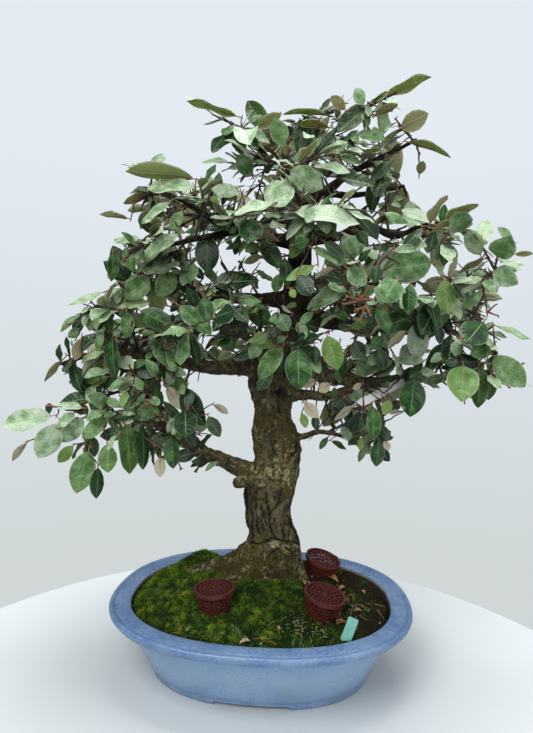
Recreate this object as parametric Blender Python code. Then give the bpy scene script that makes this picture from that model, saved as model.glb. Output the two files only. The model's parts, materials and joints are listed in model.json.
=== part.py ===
"""Informal upright bonsai with broad leaves, standing in an oval glazed pot.

All sizes below are in millimetres, and new_mesh() turns them into metres. X runs along
the pot's long side, Y runs from the front of the tree to its back, and Z runs up from
the table. The trunk and its limbs are one body, as they grew. Each leafy shoot is a body
of its own, whose leaves follow one seeded rule.
"""

import math
import random

import bmesh
import bpy
from mathutils import Matrix, Vector
from mathutils.bvhtree import BVHTree

MM = 0.001
GAP = 0.4  # clearance between two pieces that touch on the real tree
HOLE_GAP = 0.5  # clearance round what stands in the soil
UP = Vector((0.0, 0.0, 1.0))

# The pot's middle, seen from the middle of the whole tree's box
POT_PLACE = (-42.0, -43.2)

# Pot: an oval with slightly squared ends, as insets from the rim's outer edge
POT_HALF_LENGTH = 200.0
POT_HALF_WIDTH = 155.0
POT_SQUARENESS = 2.31
POT_SIDES = 32
RIM_TOP = 93.0
FLOOR_UNDERSIDE = 8.0
FLOOR_TOP = 15.0
POT_OUTSIDE = (
    (66.0, FLOOR_UNDERSIDE),
    (64.5, 0.0),
    (56.5, 0.0),
    (55.5, 9.0),
    (51.5, 12.0),
    (42.0, 32.0),
    (30.0, 54.0),
    (21.0, 74.0),
    (17.0, 82.0),
    (2.0, 83.2),
    (0.0, 90.0),
    (3.0, RIM_TOP),
    (8.0, 91.0),
)
POT_INSIDE = (
    (26.0, 90.4),
    (27.5, 80.0),
    (40.0, 46.0),
    (60.0, 17.0),
    (66.0, FLOOR_TOP),
)
FOOT_NOTCH_HEIGHT = 5.0
FRONT_NOTCH_WIDTH = 92.0
END_NOTCH_WIDTH = 62.0
DRAIN_RADIUS = 10.0
DRAIN_OFFSET = 62.0

# Soil: a low mound round the trunk, with a mossy hump at the back left
SOIL_EDGE = 85.0
SOIL_RISE = 28.0
SOIL_RISE_POWER = 1.6
SOIL_RINGS = (0.84, 0.6, 0.3)
HUMP_PLACE = (-98.0, 60.0)
HUMP_HEIGHT = 20.0
HUMP_SPREAD = (34.0, 24.0)

# Trunk: (height, centre x, centre y, half width, half depth), from the root ball up
TRUNK_SIDES = 12
BARK_TWIST = 45.0
TRUNK_STATIONS = (
    (74, -2, 20, 46, 35),
    (117, -1, 20, 50, 37),
    (134, 8, 19, 45, 35),
    (148, 14, 18, 40, 33),
    (166, 16, 17, 35, 32),
    (186, 10, 16, 33, 31),
    (208, 8, 16, 33, 30),
    (228, 9, 16, 35, 31),
    (250, 15, 16, 34, 31),
    (274, 19, 17, 31, 29),
    (292, 17, 17, 34, 30),
    (309, 14, 17, 33, 30),
    (326, 12, 16, 28, 27),
    (347, 10, 16, 27, 26),
    (380, 11, 16, 34, 29),
    (408, 18, 17, 31, 27),
    (436, 28, 17, 27, 24),
    (468, 38, 18, 22, 21),
    (500, 43, 19, 20, 19),
    (546, 45, 21, 17, 16),
    (588, 47, 22, 14, 13),
    (637, 44, 20, 10, 10),
    (684, 47, 16, 7, 7),
    (730, 53, 15, 4, 4),
    (757, 55, 15, 2.6, 2.6),
)
SOIL_LINE = 117.0
BARK_RIDGES = 5
BARK_RIDGE_SHARE = 0.06

# Surface roots and the root ball's arms: (x, y, z, radius) along each
ROOT_SIDES = 7
ROOTS = (
    ((-8, 21, 136, 24), (-40, 24, 115, 20), (-72, 28, 107, 15), (-100, 33, 100, 10), (-127, 37, 94, 6)),
    ((28, 18, 136, 20), (46, 14, 120, 15), (60, 9, 102, 9)),
    ((-12, 6, 124, 18), (-32, -8, 113, 13), (-50, -16, 102, 8)),
    ((8, 40, 126, 17), (14, 62, 112, 12), (18, 78, 99, 7)),
)

# Limbs: (x, y, z, radius) along each, from inside the trunk or a larger limb outwards
THICK_LIMB = 8.0
THICK_LIMB_SIDES = 5
THIN_LIMB_SIDES = 4
LIMBS = {
    "low_left": (
        (-2, 14, 246, 15), (-32, 1, 261, 11), (-57, -15, 276, 10), (-80, -32, 288, 9),
        (-101, -47, 309, 8), (-127, -59, 325, 6.5), (-155, -72, 334, 5), (-189, -83, 336, 3.8),
    ),
    "low_left_up": ((-99, -45, 305, 5), (-122, -51, 341, 4), (-150, -59, 362, 2.8), (-179, -68, 367, 2.2)),
    "low_left_back": ((-75, -27, 286, 6), (-104, 6, 304, 4.4), (-139, 38, 309, 3.2), (-169, 66, 302, 2.4)),
    "mid_left": (
        (14, 16, 397, 17), (-27, 6, 401, 12), (-67, -6, 399, 10), (-114, -16, 406, 8),
        (-165, -30, 413, 6), (-200, -40, 418, 4.5), (-229, -48, 413, 3.4), (-257, -57, 401, 2.6),
    ),
    "mid_left_up": ((-111, -16, 405, 6), (-144, -33, 432, 4), (-177, -44, 460, 3), (-211, -53, 481, 2.2)),
    "mid_left_back": ((-81, -5, 400, 7.5), (-139, 33, 415, 5), (-200, 68, 424, 3.8), (-257, 98, 421, 2.6)),
    "upper_left": (
        (43, 19, 496, 13), (-15, 9, 496, 8), (-63, -1, 497, 7), (-95, -8, 504, 5.2),
        (-126, -19, 510, 4), (-156, -28, 505, 3), (-181, -36, 498, 2.3),
    ),
    "upper_left_front": ((-43, 2, 496, 6), (-62, -41, 477, 4.2), (-78, -77, 460, 3), (-88, -98, 450, 2.3)),
    "upper_left_back": ((-43, 4, 496, 6), (-94, 42, 510, 4.6), (-149, 79, 519, 3.4), (-199, 108, 520, 2.4)),
    "high_left": (
        (46, 21, 577, 11), (-7, 5, 581, 7), (-50, -4, 590, 6), (-82, -13, 607, 4.6),
        (-114, -20, 625, 3.2), (-145, -27, 637, 2.3),
    ),
    "high_left_low": ((-42, -4, 587, 5), (-83, -42, 568, 3.6), (-122, -66, 552, 2.8), (-159, -80, 546, 2.2)),
    "high_left_back": ((-7, 11, 583, 5.6), (-61, 45, 614, 4.2), (-118, 75, 635, 3), (-165, 98, 642, 2.3)),
    "apex_left": ((44, 19, 650, 7), (14, 6, 677, 4.6), (-17, -8, 703, 3.4), (-50, -18, 730, 2.4)),
    "apex_front": ((43, 19, 629, 8), (30, -27, 631, 5), (36, -62, 640, 3.6), (52, -86, 648, 2.4)),
    "apex_right": ((47, 16, 684, 5.6), (78, 13, 717, 3.6), (112, 10, 745, 2.8), (151, 7, 767, 2.2)),
    "apex_back": ((44, 22, 666, 6.6), (43, 59, 710, 4.2), (49, 93, 747, 3), (57, 120, 776, 2.3)),
    "right_diagonal": (
        (45, 20, 630, 9), (86, 18, 652, 6.5), (109, 16, 669, 5), (140, 12, 684, 4),
        (174, 7, 698, 2.9), (199, 3, 710, 2.2),
    ),
    "right_second": ((75, 19, 646, 5.4), (115, 32, 647, 4.2), (162, 46, 657, 3.2), (194, 57, 668, 2.4)),
    "right_top": (
        (50, 22, 584, 11), (98, 15, 584, 6.5), (136, 10, 599, 5), (172, 1, 580, 4),
        (204, -6, 591, 3), (236, -13, 594, 2.2),
    ),
    "right_top_back": ((108, 17, 588, 5.6), (151, 68, 607, 4), (200, 113, 616, 3), (244, 147, 619, 2.3)),
    "right_upper": (
        (46, 19, 479, 14), (110, 14, 461, 8.5), (156, 8, 468, 7), (201, 2, 478, 5.4),
        (239, -3, 494, 4), (269, -9, 512, 3), (297, -14, 522, 2.2),
    ),
    "right_upper_low": ((198, 3, 477, 5), (237, -17, 456, 3.6), (267, -33, 437, 2.8), (290, -43, 420, 2.2)),
    "right_upper_back": (
        (154, 11, 468, 5.8), (204, 63, 485, 4.4), (260, 113, 501, 3.2), (307, 149, 512, 2.3),
    ),
    "right_lower": (
        (21, 17, 392, 15), (56, 17, 394, 11), (104, 14, 386, 9), (147, 9, 383, 7.4),
        (184, 6, 388, 6.4), (234, -2, 391, 4.8), (271, -8, 397, 3.4), (303, -16, 402, 2.3),
    ),
    "right_lower_fork": (
        (28, 21, 361, 10), (49, 22, 364, 7.5), (84, 21, 362, 6.5), (111, 18, 370, 5.6), (134, 12, 380, 5),
    ),
    "right_low_twig": (
        (29, 21, 299, 6), (56, 27, 304, 4.4), (78, 33, 310, 3.6), (110, 40, 304, 2.8), (142, 45, 293, 2.2),
    ),
    "right_low_hang": ((147, 9, 380, 5), (153, -12, 354, 3.4), (159, -24, 329, 2.4)),
    "front_high": ((45, 19, 549, 10), (39, -27, 553, 6.5), (47, -71, 566, 4.6), (62, -107, 577, 3)),
    "front_mid": ((38, 13, 465, 10), (30, -32, 456, 6), (25, -73, 442, 4.4), (32, -103, 427, 2.8)),
    "front_left": ((21, 7, 418, 9), (0, -35, 430, 5.4), (-23, -77, 440, 4), (-39, -112, 443, 2.6)),
    "front_right": ((47, 16, 496, 9), (84, -28, 490, 5.4), (109, -69, 494, 4), (126, -104, 498, 2.6)),
    "back_low": (
        (17, 22, 404, 13), (5, 71, 418, 8.6), (-15, 117, 425, 6), (-40, 162, 426, 4), (-63, 200, 420, 2.4),
    ),
    "back_right": (
        (41, 29, 489, 12), (73, 77, 510, 7.6), (106, 128, 524, 5.2), (132, 172, 528, 3.6),
        (153, 212, 523, 2.4),
    ),
    "back_high": ((47, 29, 590, 9), (29, 69, 617, 5.8), (5, 109, 636, 4), (-18, 147, 644, 2.5)),
    "back_right_low": ((49, 24, 392, 10), (87, 70, 395, 6.4), (126, 115, 392, 4.4), (163, 157, 382, 2.6)),
}

# Cut stub of an old limb, under the lowest one
STUB = ((-8, 4, 250, 12), (-27, -12, 246, 9.5), (-36, -20, 245, 7.5))

# Shoots: where each leaves the wood, then the tip of each of its stems
SHOOTS = {
    "low_left_end": ((-189, -83, 336), ((-250, -100, 350), (-208, -98, 298), (-240, -98, 322))),
    "low_left_mid": ((-155, -72, 334), ((-164, -89, 297), (-124, -75, 301))),
    "low_left_crown": ((-179, -68, 367), ((-216, -83, 354), (-183, -100, 325))),
    "low_left_inner": ((-127, -59, 325), ((-88, -76, 334), (-135, -82, 356))),
    "low_left_rear": ((-169, 66, 302), ((-217, 85, 298), (-151, 83, 278))),
    "mid_left_end": ((-257, -57, 401), ((-256, -76, 402), (-222, -80, 414), (-212, -66, 376))),
    "mid_left_front": ((-200, -40, 418), ((-189, -83, 429), (-160, -70, 392))),
    "mid_left_inner": ((-165, -30, 413), ((-109, -72, 428), (-106, -53, 378))),
    "mid_left_top": ((-211, -53, 481), ((-219, -66, 469), (-172, -76, 470))),
    "mid_left_crown": ((-144, -33, 432), ((-130, -70, 474), (-166, -14, 456))),
    "mid_left_rear": ((-257, 98, 421), ((-288, 112, 416), (-224, 120, 456))),
    "mid_left_back": ((-139, 33, 415), ((-141, 60, 461), (-179, 55, 373))),
    "upper_left_front": ((-88, -98, 450), ((-73, -119, 442), (-48, -124, 455))),
    "upper_left_end": ((-181, -36, 498), ((-183, -60, 506), (-157, -58, 519))),
    "upper_left_mid": ((-126, -19, 510), ((-86, -54, 536), (-134, -50, 552))),
    "upper_left_inner": ((-63, -1, 497), ((-34, -49, 517), (-39, -44, 464))),
    "upper_left_rear": ((-199, 108, 520), ((-226, 124, 538), (-171, 132, 570))),
    "high_left_end": ((-145, -27, 637), ((-174, -37, 617), (-147, -47, 655))),
    "high_left_mid": ((-82, -13, 607), ((-82, -51, 634), (-71, 14, 642))),
    "high_left_low": ((-159, -80, 546), ((-166, -92, 527), (-128, -106, 549), (-116, -74, 588))),
    "high_left_inner": ((-50, -4, 590), ((-34, -57, 594), (-1, -50, 550))),
    "high_left_rear": ((-165, 98, 642), ((-205, 118, 662), (-146, 124, 681))),
    "apex_left_end": ((-50, -18, 730), ((-70, -26, 736), (-27, -48, 706))),
    "apex_left_mid": ((14, 6, 677), ((-3, -42, 670), (2, -20, 712), (-34, -28, 668))),
    "apex_top": ((55, 15, 757), ((72, -12, 741), (36, -22, 722))),
    "apex_right_end": ((151, 7, 767), ((169, 1, 771), (129, -29, 740))),
    "apex_front": ((52, -86, 648), ((43, -109, 629), (77, -90, 627), (92, -60, 668))),
    "apex_rear": ((57, 120, 776), ((69, 146, 776), (17, 132, 768))),
    "right_diagonal_end": ((199, 3, 710), ((200, -14, 684), (170, -19, 726))),
    "right_second_end": ((194, 57, 668), ((206, 74, 652), (180, 83, 700))),
    "right_diagonal_mid": ((140, 12, 684), ((153, -33, 650), (118, -28, 692))),
    "right_top_end": ((236, -13, 594), ((256, -26, 577), (200, -47, 579), (222, -52, 556))),
    "right_top_mid": ((172, 1, 580), ((174, -49, 542), (126, -39, 557))),
    "right_top_rear": ((244, 147, 619), ((284, 170, 636), (215, 163, 664))),
    "right_upper_end": ((297, -14, 522), ((300, -18, 551), (276, -34, 514), (268, -32, 570))),
    "right_upper_mid": ((239, -3, 494), ((234, -46, 514), (200, -42, 494), (188, -46, 462))),
    "right_low_end": ((290, -43, 420), ((284, -60, 424), (262, -68, 406), (276, -66, 396))),
    "right_low_mid": ((237, -17, 456), ((244, -62, 438), (226, -52, 414))),
    "right_upper_rear": ((307, 149, 512), ((340, 172, 526), (282, 167, 561))),
    "right_hang": ((159, -24, 329), ((130, -48, 352), (147, -36, 322))),
    "right_mid": ((184, 6, 388), ((196, -44, 404), (163, -38, 428), (128, -54, 446))),
    "right_low_twig": ((142, 45, 293), ((169, 66, 299), (130, 72, 318))),
    "front_high": ((62, -107, 577), ((48, -130, 576), (90, -121, 579), (66, -122, 546))),
    "front_mid": ((32, -103, 427), ((24, -126, 425), (57, -117, 428), (76, -104, 410))),
    "front_right": ((126, -104, 498), ((140, -122, 496), (100, -119, 494))),
    "back_low_end": ((-63, 200, 420), ((-103, 214, 427), (-30, 216, 459))),
    "back_right_end": ((153, 212, 523), ((185, 226, 516), (122, 224, 563))),
    "back_high": ((-18, 147, 644), ((-48, 166, 654), (7, 165, 684))),
    "back_low_right": ((163, 157, 382), ((209, 179, 376), (124, 170, 354))),
}
CROWN_AXIS = (45.0, 18.0)
BACK_HALF = 70.0
HIGH_SHOOTS = 560.0
HIGH_DROOP = (-0.4, 0.5)
LOW_DROOP = (0.0, 1.1)
HIGH_FLATNESS = 1.1
LOW_FLATNESS = 0.6
STEM_RADIUS = (2.5, 1.8)
SIDE_STEM_RADIUS = (2.1, 1.7)
STEM_SIDES = 3
FORK_SHARE = 0.25
FORK_REACH = 0.5
FIRST_LEAF_SHARE = 0.3
STEM_TRIES = 40
STEM_STEP = 0.4

# Leaves: pointed ovals, each given as (share of its length, share of its width, keel)
LEAF_SPACING = 15.0
LEAF_LENGTHS = (48.0, 76.0)
LEAF_WIDTH_SHARE = 0.5
LEAF_ROOT = 0.6
LEAF_DROOP_CURVE = 0.13
LEAF_STATIONS = ((0.36, 0.96, 2.2), (0.7, 0.88, 1.5))
LEAF_TRIES = 14
LEAF_CLEARANCE = 0.45
GOLDEN_ANGLE = math.radians(137.5)

# Fertiliser baskets: (x, y, z of the bottom, lean in degrees, heading of the lean, spin)
BASKET_SIDES = 12
BASKET_HEIGHT = 26.0
BASKET_BOTTOM_RADIUS = 18.0
BASKET_TOP_RADIUS = 24.5
BASKET_WALL = 1.6
LID_CLEARANCE = 0.3
LID_RADIUS = 25.6
LID_THICKNESS = 2.0
LID_RINGS = ((5.0, 11.0, 4), (13.0, 21.5, 8))
LID_BAR_SHARE = 0.3
LID_TAB = (5.0, 8.0, 1.2)
SLOT_ROWS = (8.5, 17.5)
SLOT_BARS = 2
SLOT_SIZE = (80.0, 9.0, 5.0)
BASKETS = {
    "basket_left": (-51.0, -66.0, 97.5, 2.0, 180.0, -95.0),
    "basket_right": (80.0, -60.0, 96.0, 12.0, -20.0, 0.0),
    "basket_back": (79.0, 47.0, 99.0, 17.0, -25.0, 40.0),
}

# Plant label, standing in the soil, and the paper tag tied to a limb
LABEL_WIDTH = 12.5
LABEL_THICKNESS = 1.0
LABEL_SHOWN = 27.0
LABEL_BURIED = 16.0
LABEL_POINT = 6.0
LABEL_FOOT = (108.0, -98.0, 87.0)
LABEL_LEAN = (10.0, 4.0, 25.0)
LABEL_ACROSS = (1.0, 0.15, 0.0)
TAG_TIE = (184.0, 6.0, 387.3)
TAG_TIE_AXIS = (50.0, -8.0, 3.0)
TAG_TIE_RADIUS = 8.4
TAG_TIE_WIRE = 0.8
TAG_TOP = (186.0, -3.5, 386.0)
TAG_POINT = (114.0, -20.0, 349.0)
TAG_WIDTH = 12.0
TAG_THICKNESS = 0.9
TAG_NECK = 2.0
TAG_TAPER = 22.0
TAG_TIE_STEPS = 12

# Finishes: colour, roughness and metallic value
FINISHES = {
    "blue_glaze": ((0.16, 0.27, 0.60), 0.25, 0.0),
    "moss_and_soil": ((0.10, 0.13, 0.03), 0.95, 0.0),
    "bark": ((0.13, 0.11, 0.07), 0.9, 0.0),
    "leaf": ((0.10, 0.20, 0.09), 0.42, 0.0),
    "basket_plastic": ((0.12, 0.02, 0.02), 0.4, 0.0),
    "label_plastic": ((0.35, 0.75, 0.68), 0.5, 0.0),
    "tag_paper": ((0.85, 0.85, 0.85), 0.8, 0.0),
}


def clear_scene():
    """Removes whatever the open file holds."""
    for ob in list(bpy.data.objects):
        bpy.data.objects.remove(ob, do_unlink=True)


def finish_material(name):
    """Returns the named finish as a material, made on first use."""
    if name in bpy.data.materials:
        return bpy.data.materials[name]
    colour, roughness, metallic = FINISHES[name]
    material = bpy.data.materials.new(name)
    material.use_nodes = True
    shader = material.node_tree.nodes["Principled BSDF"]
    shader.inputs["Base Color"].default_value = (*colour, 1.0)
    shader.inputs["Roughness"].default_value = roughness
    shader.inputs["Metallic"].default_value = metallic
    return material


def new_mesh(name, shape):
    """Returns a mesh in metres from a shape, which is (points in mm, faces)."""
    points, faces = shape
    mesh = bpy.data.meshes.new(name)
    mesh.from_pydata([Vector(p) * MM for p in points], [], faces)
    return mesh


def new_object(name, mesh):
    """Returns an object of that mesh, linked into the scene."""
    ob = bpy.data.objects.new(name, mesh)
    bpy.context.scene.collection.objects.link(ob)
    return ob


def boolean(mesh, shapes, operation, solver):
    """Returns the mesh after one Boolean with all the shapes, held in a collection."""
    target = new_object("target", mesh)
    tools = bpy.data.collections.new("tools")
    bpy.context.scene.collection.children.link(tools)
    for number, shape in enumerate(shapes):
        tool = bpy.data.objects.new(f"tool_{number}", new_mesh("tool", shape))
        tools.objects.link(tool)
    modifier = target.modifiers.new("Boolean", "BOOLEAN")
    modifier.operation = operation
    modifier.operand_type = "COLLECTION"
    modifier.collection = tools
    modifier.solver = solver
    bpy.context.view_layer.update()
    graph = bpy.context.evaluated_depsgraph_get()
    result = bpy.data.meshes.new_from_object(target.evaluated_get(graph))
    for tool in list(tools.objects):
        bpy.data.objects.remove(tool, do_unlink=True)
    bpy.data.collections.remove(tools)
    bpy.data.objects.remove(target, do_unlink=True)
    return result


def keep_largest_shell(mesh):
    """Drops loose scraps and sealed hollows: every shell but the one with most faces."""
    bm = bmesh.new()
    bm.from_mesh(mesh)
    unseen = set(bm.faces)
    shells = []
    while unseen:
        stack = [unseen.pop()]
        shell = list(stack)
        while stack:
            for edge in stack.pop().edges:
                for face in edge.link_faces:
                    if face in unseen:
                        unseen.remove(face)
                        stack.append(face)
                        shell.append(face)
        shells.append(shell)
    shells.sort(key=len)
    for shell in shells[:-1]:
        bmesh.ops.delete(bm, geom=shell, context="FACES")
    bm.to_mesh(mesh)
    bm.free()


def add_piece(name, mesh, finish, root, smooth_angle=None):
    """Makes a finished piece of the mesh, parented to the root."""
    ob = new_object(name, mesh)
    mesh.name = name
    mesh.materials.clear()
    mesh.materials.append(finish_material(finish))
    if smooth_angle is not None:
        mesh.shade_smooth()
        mesh.set_sharp_from_angle(angle=math.radians(smooth_angle))
    ob.parent = root
    return ob


def oval(inset, height):
    """Returns one loop of points round the pot's outline, inset from its outer edge."""
    half_length = POT_HALF_LENGTH - inset
    half_width = POT_HALF_WIDTH - inset
    power = 2.0 / POT_SQUARENESS
    loop = []
    for step in range(POT_SIDES):
        angle = math.tau * step / POT_SIDES
        x = math.copysign(abs(math.cos(angle)) ** power, math.cos(angle))
        y = math.copysign(abs(math.sin(angle)) ** power, math.sin(angle))
        loop.append((half_length * x, half_width * y, height))
    return loop


def loft(loops):
    """Returns the closed shape through loops of equal length, capped at both ends."""
    count = len(loops[0])
    points = [point for loop in loops for point in loop]
    faces = [list(range(count))[::-1]]
    for ring in range(len(loops) - 1):
        start = ring * count
        for side in range(count):
            after = (side + 1) % count
            faces.append([start + side, start + after, start + count + after, start + count + side])
    faces.append([len(points) - count + side for side in range(count)])
    return points, faces


def box(size, centre):
    """Returns an upright box of that size about the centre."""
    half = [length / 2 for length in size]
    low = [(-half[0], -half[1]), (half[0], -half[1]), (half[0], half[1]), (-half[0], half[1])]
    loops = [[(centre[0] + x, centre[1] + y, centre[2] + z) for x, y in low] for z in (-half[2], half[2])]
    return loft(loops)


def moved(shape, matrix):
    """Returns the shape placed by the matrix."""
    points, faces = shape
    return [matrix @ Vector(point) for point in points], faces


def rod(radius, low, high, sides, centre=(0.0, 0.0)):
    """Returns an upright round prism."""
    angles = [math.tau * step / sides for step in range(sides)]
    ring = [(centre[0] + radius * math.cos(a), centre[1] + radius * math.sin(a)) for a in angles]
    return loft([[(x, y, height) for x, y in ring] for height in (low, high)])


def tube(route, sides, grow=0.0):
    """Returns a tapering tube through (x, y, z, radius) stations.

    A grow above zero makes it that much larger on every side, for the hole it stands in.
    """
    centres = [Vector(station[:3]) for station in route]
    radii = [station[3] + grow for station in route]
    centres[0] -= (centres[1] - centres[0]).normalized() * grow
    centres[-1] += (centres[-1] - centres[-2]).normalized() * grow
    side = None
    loops = []
    for number, centre in enumerate(centres):
        before = centres[max(number - 1, 0)]
        after = centres[min(number + 1, len(centres) - 1)]
        along = (after - before).normalized()
        if side is None:
            side = along.orthogonal().normalized()
        side = (side - along * side.dot(along)).normalized()
        across = along.cross(side)
        loop = []
        for step in range(sides):
            angle = math.tau * step / sides
            offset = side * math.cos(angle) + across * math.sin(angle)
            loop.append(centre + offset * radii[number])
        loops.append(loop)
    return loft(loops)


def soil_height(x, y):
    """Returns the height of the soil's surface at that place."""
    half_length = POT_HALF_LENGTH - POT_INSIDE[1][0]
    half_width = POT_HALF_WIDTH - POT_INSIDE[1][0]
    reach = abs(x / half_length) ** POT_SQUARENESS + abs(y / half_width) ** POT_SQUARENESS
    reach = min(reach ** (1.0 / POT_SQUARENESS), 1.0)
    rise = SOIL_RISE * (1.0 - reach**SOIL_RISE_POWER)
    across = (x - HUMP_PLACE[0]) / HUMP_SPREAD[0]
    along = (y - HUMP_PLACE[1]) / HUMP_SPREAD[1]
    return SOIL_EDGE + rise + HUMP_HEIGHT * math.exp(-(across**2 + along**2))


def trunk_ring(station, grow=0.0):
    """Returns one level loop of the trunk, with the bark's broad ridges in it."""
    height, x, y, half_width, half_depth = station
    loop = []
    for step in range(TRUNK_SIDES):
        angle = math.tau * step / TRUNK_SIDES
        twist = max(height, SOIL_LINE) / BARK_TWIST
        ridge = 1.0 + BARK_RIDGE_SHARE * math.sin(BARK_RIDGES * angle + twist)
        ridge += 0.5 * BARK_RIDGE_SHARE * math.sin(2 * angle - 2.0 * twist)
        width = half_width * ridge + grow
        depth = half_depth * ridge + grow
        loop.append((x + width * math.cos(angle), y + depth * math.sin(angle), height))
    return loop


def trunk_shape():
    """Returns the trunk alone, from the root ball to the top."""
    return loft([trunk_ring(station) for station in TRUNK_STATIONS])


def root_hole_shapes():
    """Returns the shapes of the hole that the root ball and the roots stand in."""
    foot, collar = TRUNK_STATIONS[0], TRUNK_STATIONS[1]
    low = (foot[0] - GAP, *foot[1:])
    high = (collar[0] + SOIL_RISE, *collar[1:])
    rings = [trunk_ring(low, HOLE_GAP), trunk_ring(collar, HOLE_GAP), trunk_ring(high, 8 * HOLE_GAP)]
    return [loft(rings), *(tube(route, ROOT_SIDES, HOLE_GAP) for route in ROOTS)]


def build_wood(root):
    """Makes the trunk with its roots, limbs and cut stub as one body."""
    limbs = []
    for route in LIMBS.values():
        sides = THICK_LIMB_SIDES if route[0][3] > THICK_LIMB else THIN_LIMB_SIDES
        limbs.append(tube(route, sides))
    roots = [tube(route, ROOT_SIDES) for route in ROOTS]
    stub = tube(STUB, ROOT_SIDES)
    mesh = boolean(new_mesh("trunk", trunk_shape()), [*roots, stub, *limbs], "UNION", "EXACT")
    keep_largest_shell(mesh)
    return add_piece("trunk", mesh, "bark", root, 50)


def build_pot(root):
    """Makes the pot, with notches between its four feet and two drain holes."""
    loops = [oval(inset, height) for inset, height in (*POT_OUTSIDE, *POT_INSIDE)]
    long_way, short_way = 2.2 * POT_HALF_LENGTH, 2.2 * POT_HALF_WIDTH
    notches = [
        box((FRONT_NOTCH_WIDTH, short_way, 2 * FOOT_NOTCH_HEIGHT), (0, 0, 0)),
        box((long_way, END_NOTCH_WIDTH, 2 * FOOT_NOTCH_HEIGHT), (0, 0, 0)),
    ]
    drains = [rod(DRAIN_RADIUS, 2.0, FLOOR_TOP + 5.0, 12, (x, 0)) for x in (-DRAIN_OFFSET, DRAIN_OFFSET)]
    mesh = boolean(new_mesh("pot", loft(loops)), [*notches, *drains], "DIFFERENCE", "EXACT")
    return add_piece("pot", mesh, "blue_glaze", root, 40)


def build_soil(root):
    """Makes the soil that fills the pot, with plain holes for what stands in it."""
    edge = POT_INSIDE[1][0] + GAP + 0.2
    inside = [(inset + GAP + 0.4, height + GAP + 0.3) for inset, height in POT_INSIDE[:1:-1]]
    loops = [oval(inset, height) for inset, height in inside]
    loops.append(oval(edge, SOIL_EDGE - 4.0))
    loops.append([(x, y, soil_height(x, y)) for x, y, _ in oval(edge, 0)])
    for share in SOIL_RINGS:
        ring = [(x * share, y * share) for x, y, _ in oval(edge, 0)]
        loops.append([(x, y, soil_height(x, y)) for x, y in ring])
    points, faces = loft(loops)
    cap = faces.pop()
    points.append((0.0, 0.0, soil_height(0, 0)))
    for side, corner in enumerate(cap):
        faces.append([corner, cap[(side + 1) % len(cap)], len(points) - 1])
    faces = [triangle for face in faces for triangle in split_quad(face)]
    holes = [*root_hole_shapes(), label_shape(GAP), *(basket_hole(name) for name in BASKETS)]
    mesh = boolean(new_mesh("soil", (points, faces)), holes, "DIFFERENCE", "EXACT")
    keep_largest_shell(mesh)
    return add_piece("soil", mesh, "moss_and_soil", root, 50)


def split_quad(face):
    """Returns a four-sided face as two triangles, and any other face as it is."""
    if len(face) != 4:
        return [face]
    return [[face[0], face[1], face[2]], [face[0], face[2], face[3]]]


def basket_matrix(name):
    """Returns the placing of a basket, from its bottom's middle."""
    x, y, z, lean, heading, spin = BASKETS[name]
    toward = math.radians(heading)
    axis = Vector((-math.sin(toward), math.cos(toward), 0.0))
    turn = Matrix.Rotation(math.radians(lean), 4, axis) @ Matrix.Rotation(math.radians(spin), 4, "Z")
    return Matrix.Translation((x, y, z)) @ turn


def basket_loop(radius, height):
    """Returns one loop of points round a basket."""
    angles = [math.tau * (step + 0.5) / BASKET_SIDES for step in range(BASKET_SIDES)]
    return [(radius * math.cos(a), radius * math.sin(a), height) for a in angles]


def basket_hole(name):
    """Returns the shallow round hole that a basket is pressed into."""
    low = basket_loop(BASKET_BOTTOM_RADIUS + 2 * GAP, -GAP)
    high = basket_loop(BASKET_TOP_RADIUS + 2 * GAP, BASKET_HEIGHT)
    return moved(loft([low, high]), basket_matrix(name))


def build_basket(name, root):
    """Makes a basket's slotted cup and its lattice lid."""
    place = basket_matrix(name)
    inner_bottom = BASKET_BOTTOM_RADIUS - BASKET_WALL
    inner_top = BASKET_TOP_RADIUS - BASKET_WALL
    profile = (
        (BASKET_BOTTOM_RADIUS, 0.0),
        (BASKET_TOP_RADIUS, BASKET_HEIGHT),
        (inner_top, BASKET_HEIGHT),
        (inner_bottom, BASKET_WALL),
    )
    cup = loft([basket_loop(radius, height) for radius, height in profile])
    slots = []
    for row, height in enumerate(SLOT_ROWS):
        for bar in range(SLOT_BARS):
            turn = Matrix.Rotation(math.pi * (bar + 0.5 * row) / SLOT_BARS, 4, "Z")
            slots.append(moved(box(SLOT_SIZE, (0, 0, height)), turn))
    slots = [moved(slot, place) for slot in slots]
    mesh = boolean(new_mesh(name, moved(cup, place)), slots, "DIFFERENCE", "EXACT")
    add_piece(f"{name}_cup", mesh, "basket_plastic", root, 40)
    low = BASKET_HEIGHT + LID_CLEARANCE
    lid = loft([basket_loop(LID_RADIUS, height) for height in (low, low + LID_THICKNESS)])
    tab = box(LID_TAB, (LID_RADIUS, 0, low + LID_THICKNESS / 2))
    mesh = boolean(new_mesh(name, moved(lid, place)), [moved(tab, place)], "UNION", "EXACT")
    openings = [moved(shape, place) for shape in lid_openings()]
    mesh = boolean(mesh, openings, "DIFFERENCE", "EXACT")
    add_piece(f"{name}_lid", mesh, "basket_plastic", root, 40)


def lid_openings():
    """Returns the wedge-shaped openings of the lid's lattice, ring by ring."""
    low = BASKET_HEIGHT - 1.0
    high = BASKET_HEIGHT + LID_THICKNESS + 2.0
    shapes = []
    for inner, outer, count in LID_RINGS:
        half = math.pi / count * (1.0 - LID_BAR_SHARE)
        for number in range(count):
            middle = math.tau * number / count
            low_side, high_side = middle - half, middle + half
            corners = [(inner, low_side), (outer, low_side), (outer, high_side), (inner, high_side)]
            flat = [(r * math.cos(a), r * math.sin(a)) for r, a in corners]
            shapes.append(loft([[(x, y, z) for x, y in flat] for z in (low, high)]))
    return shapes


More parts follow.
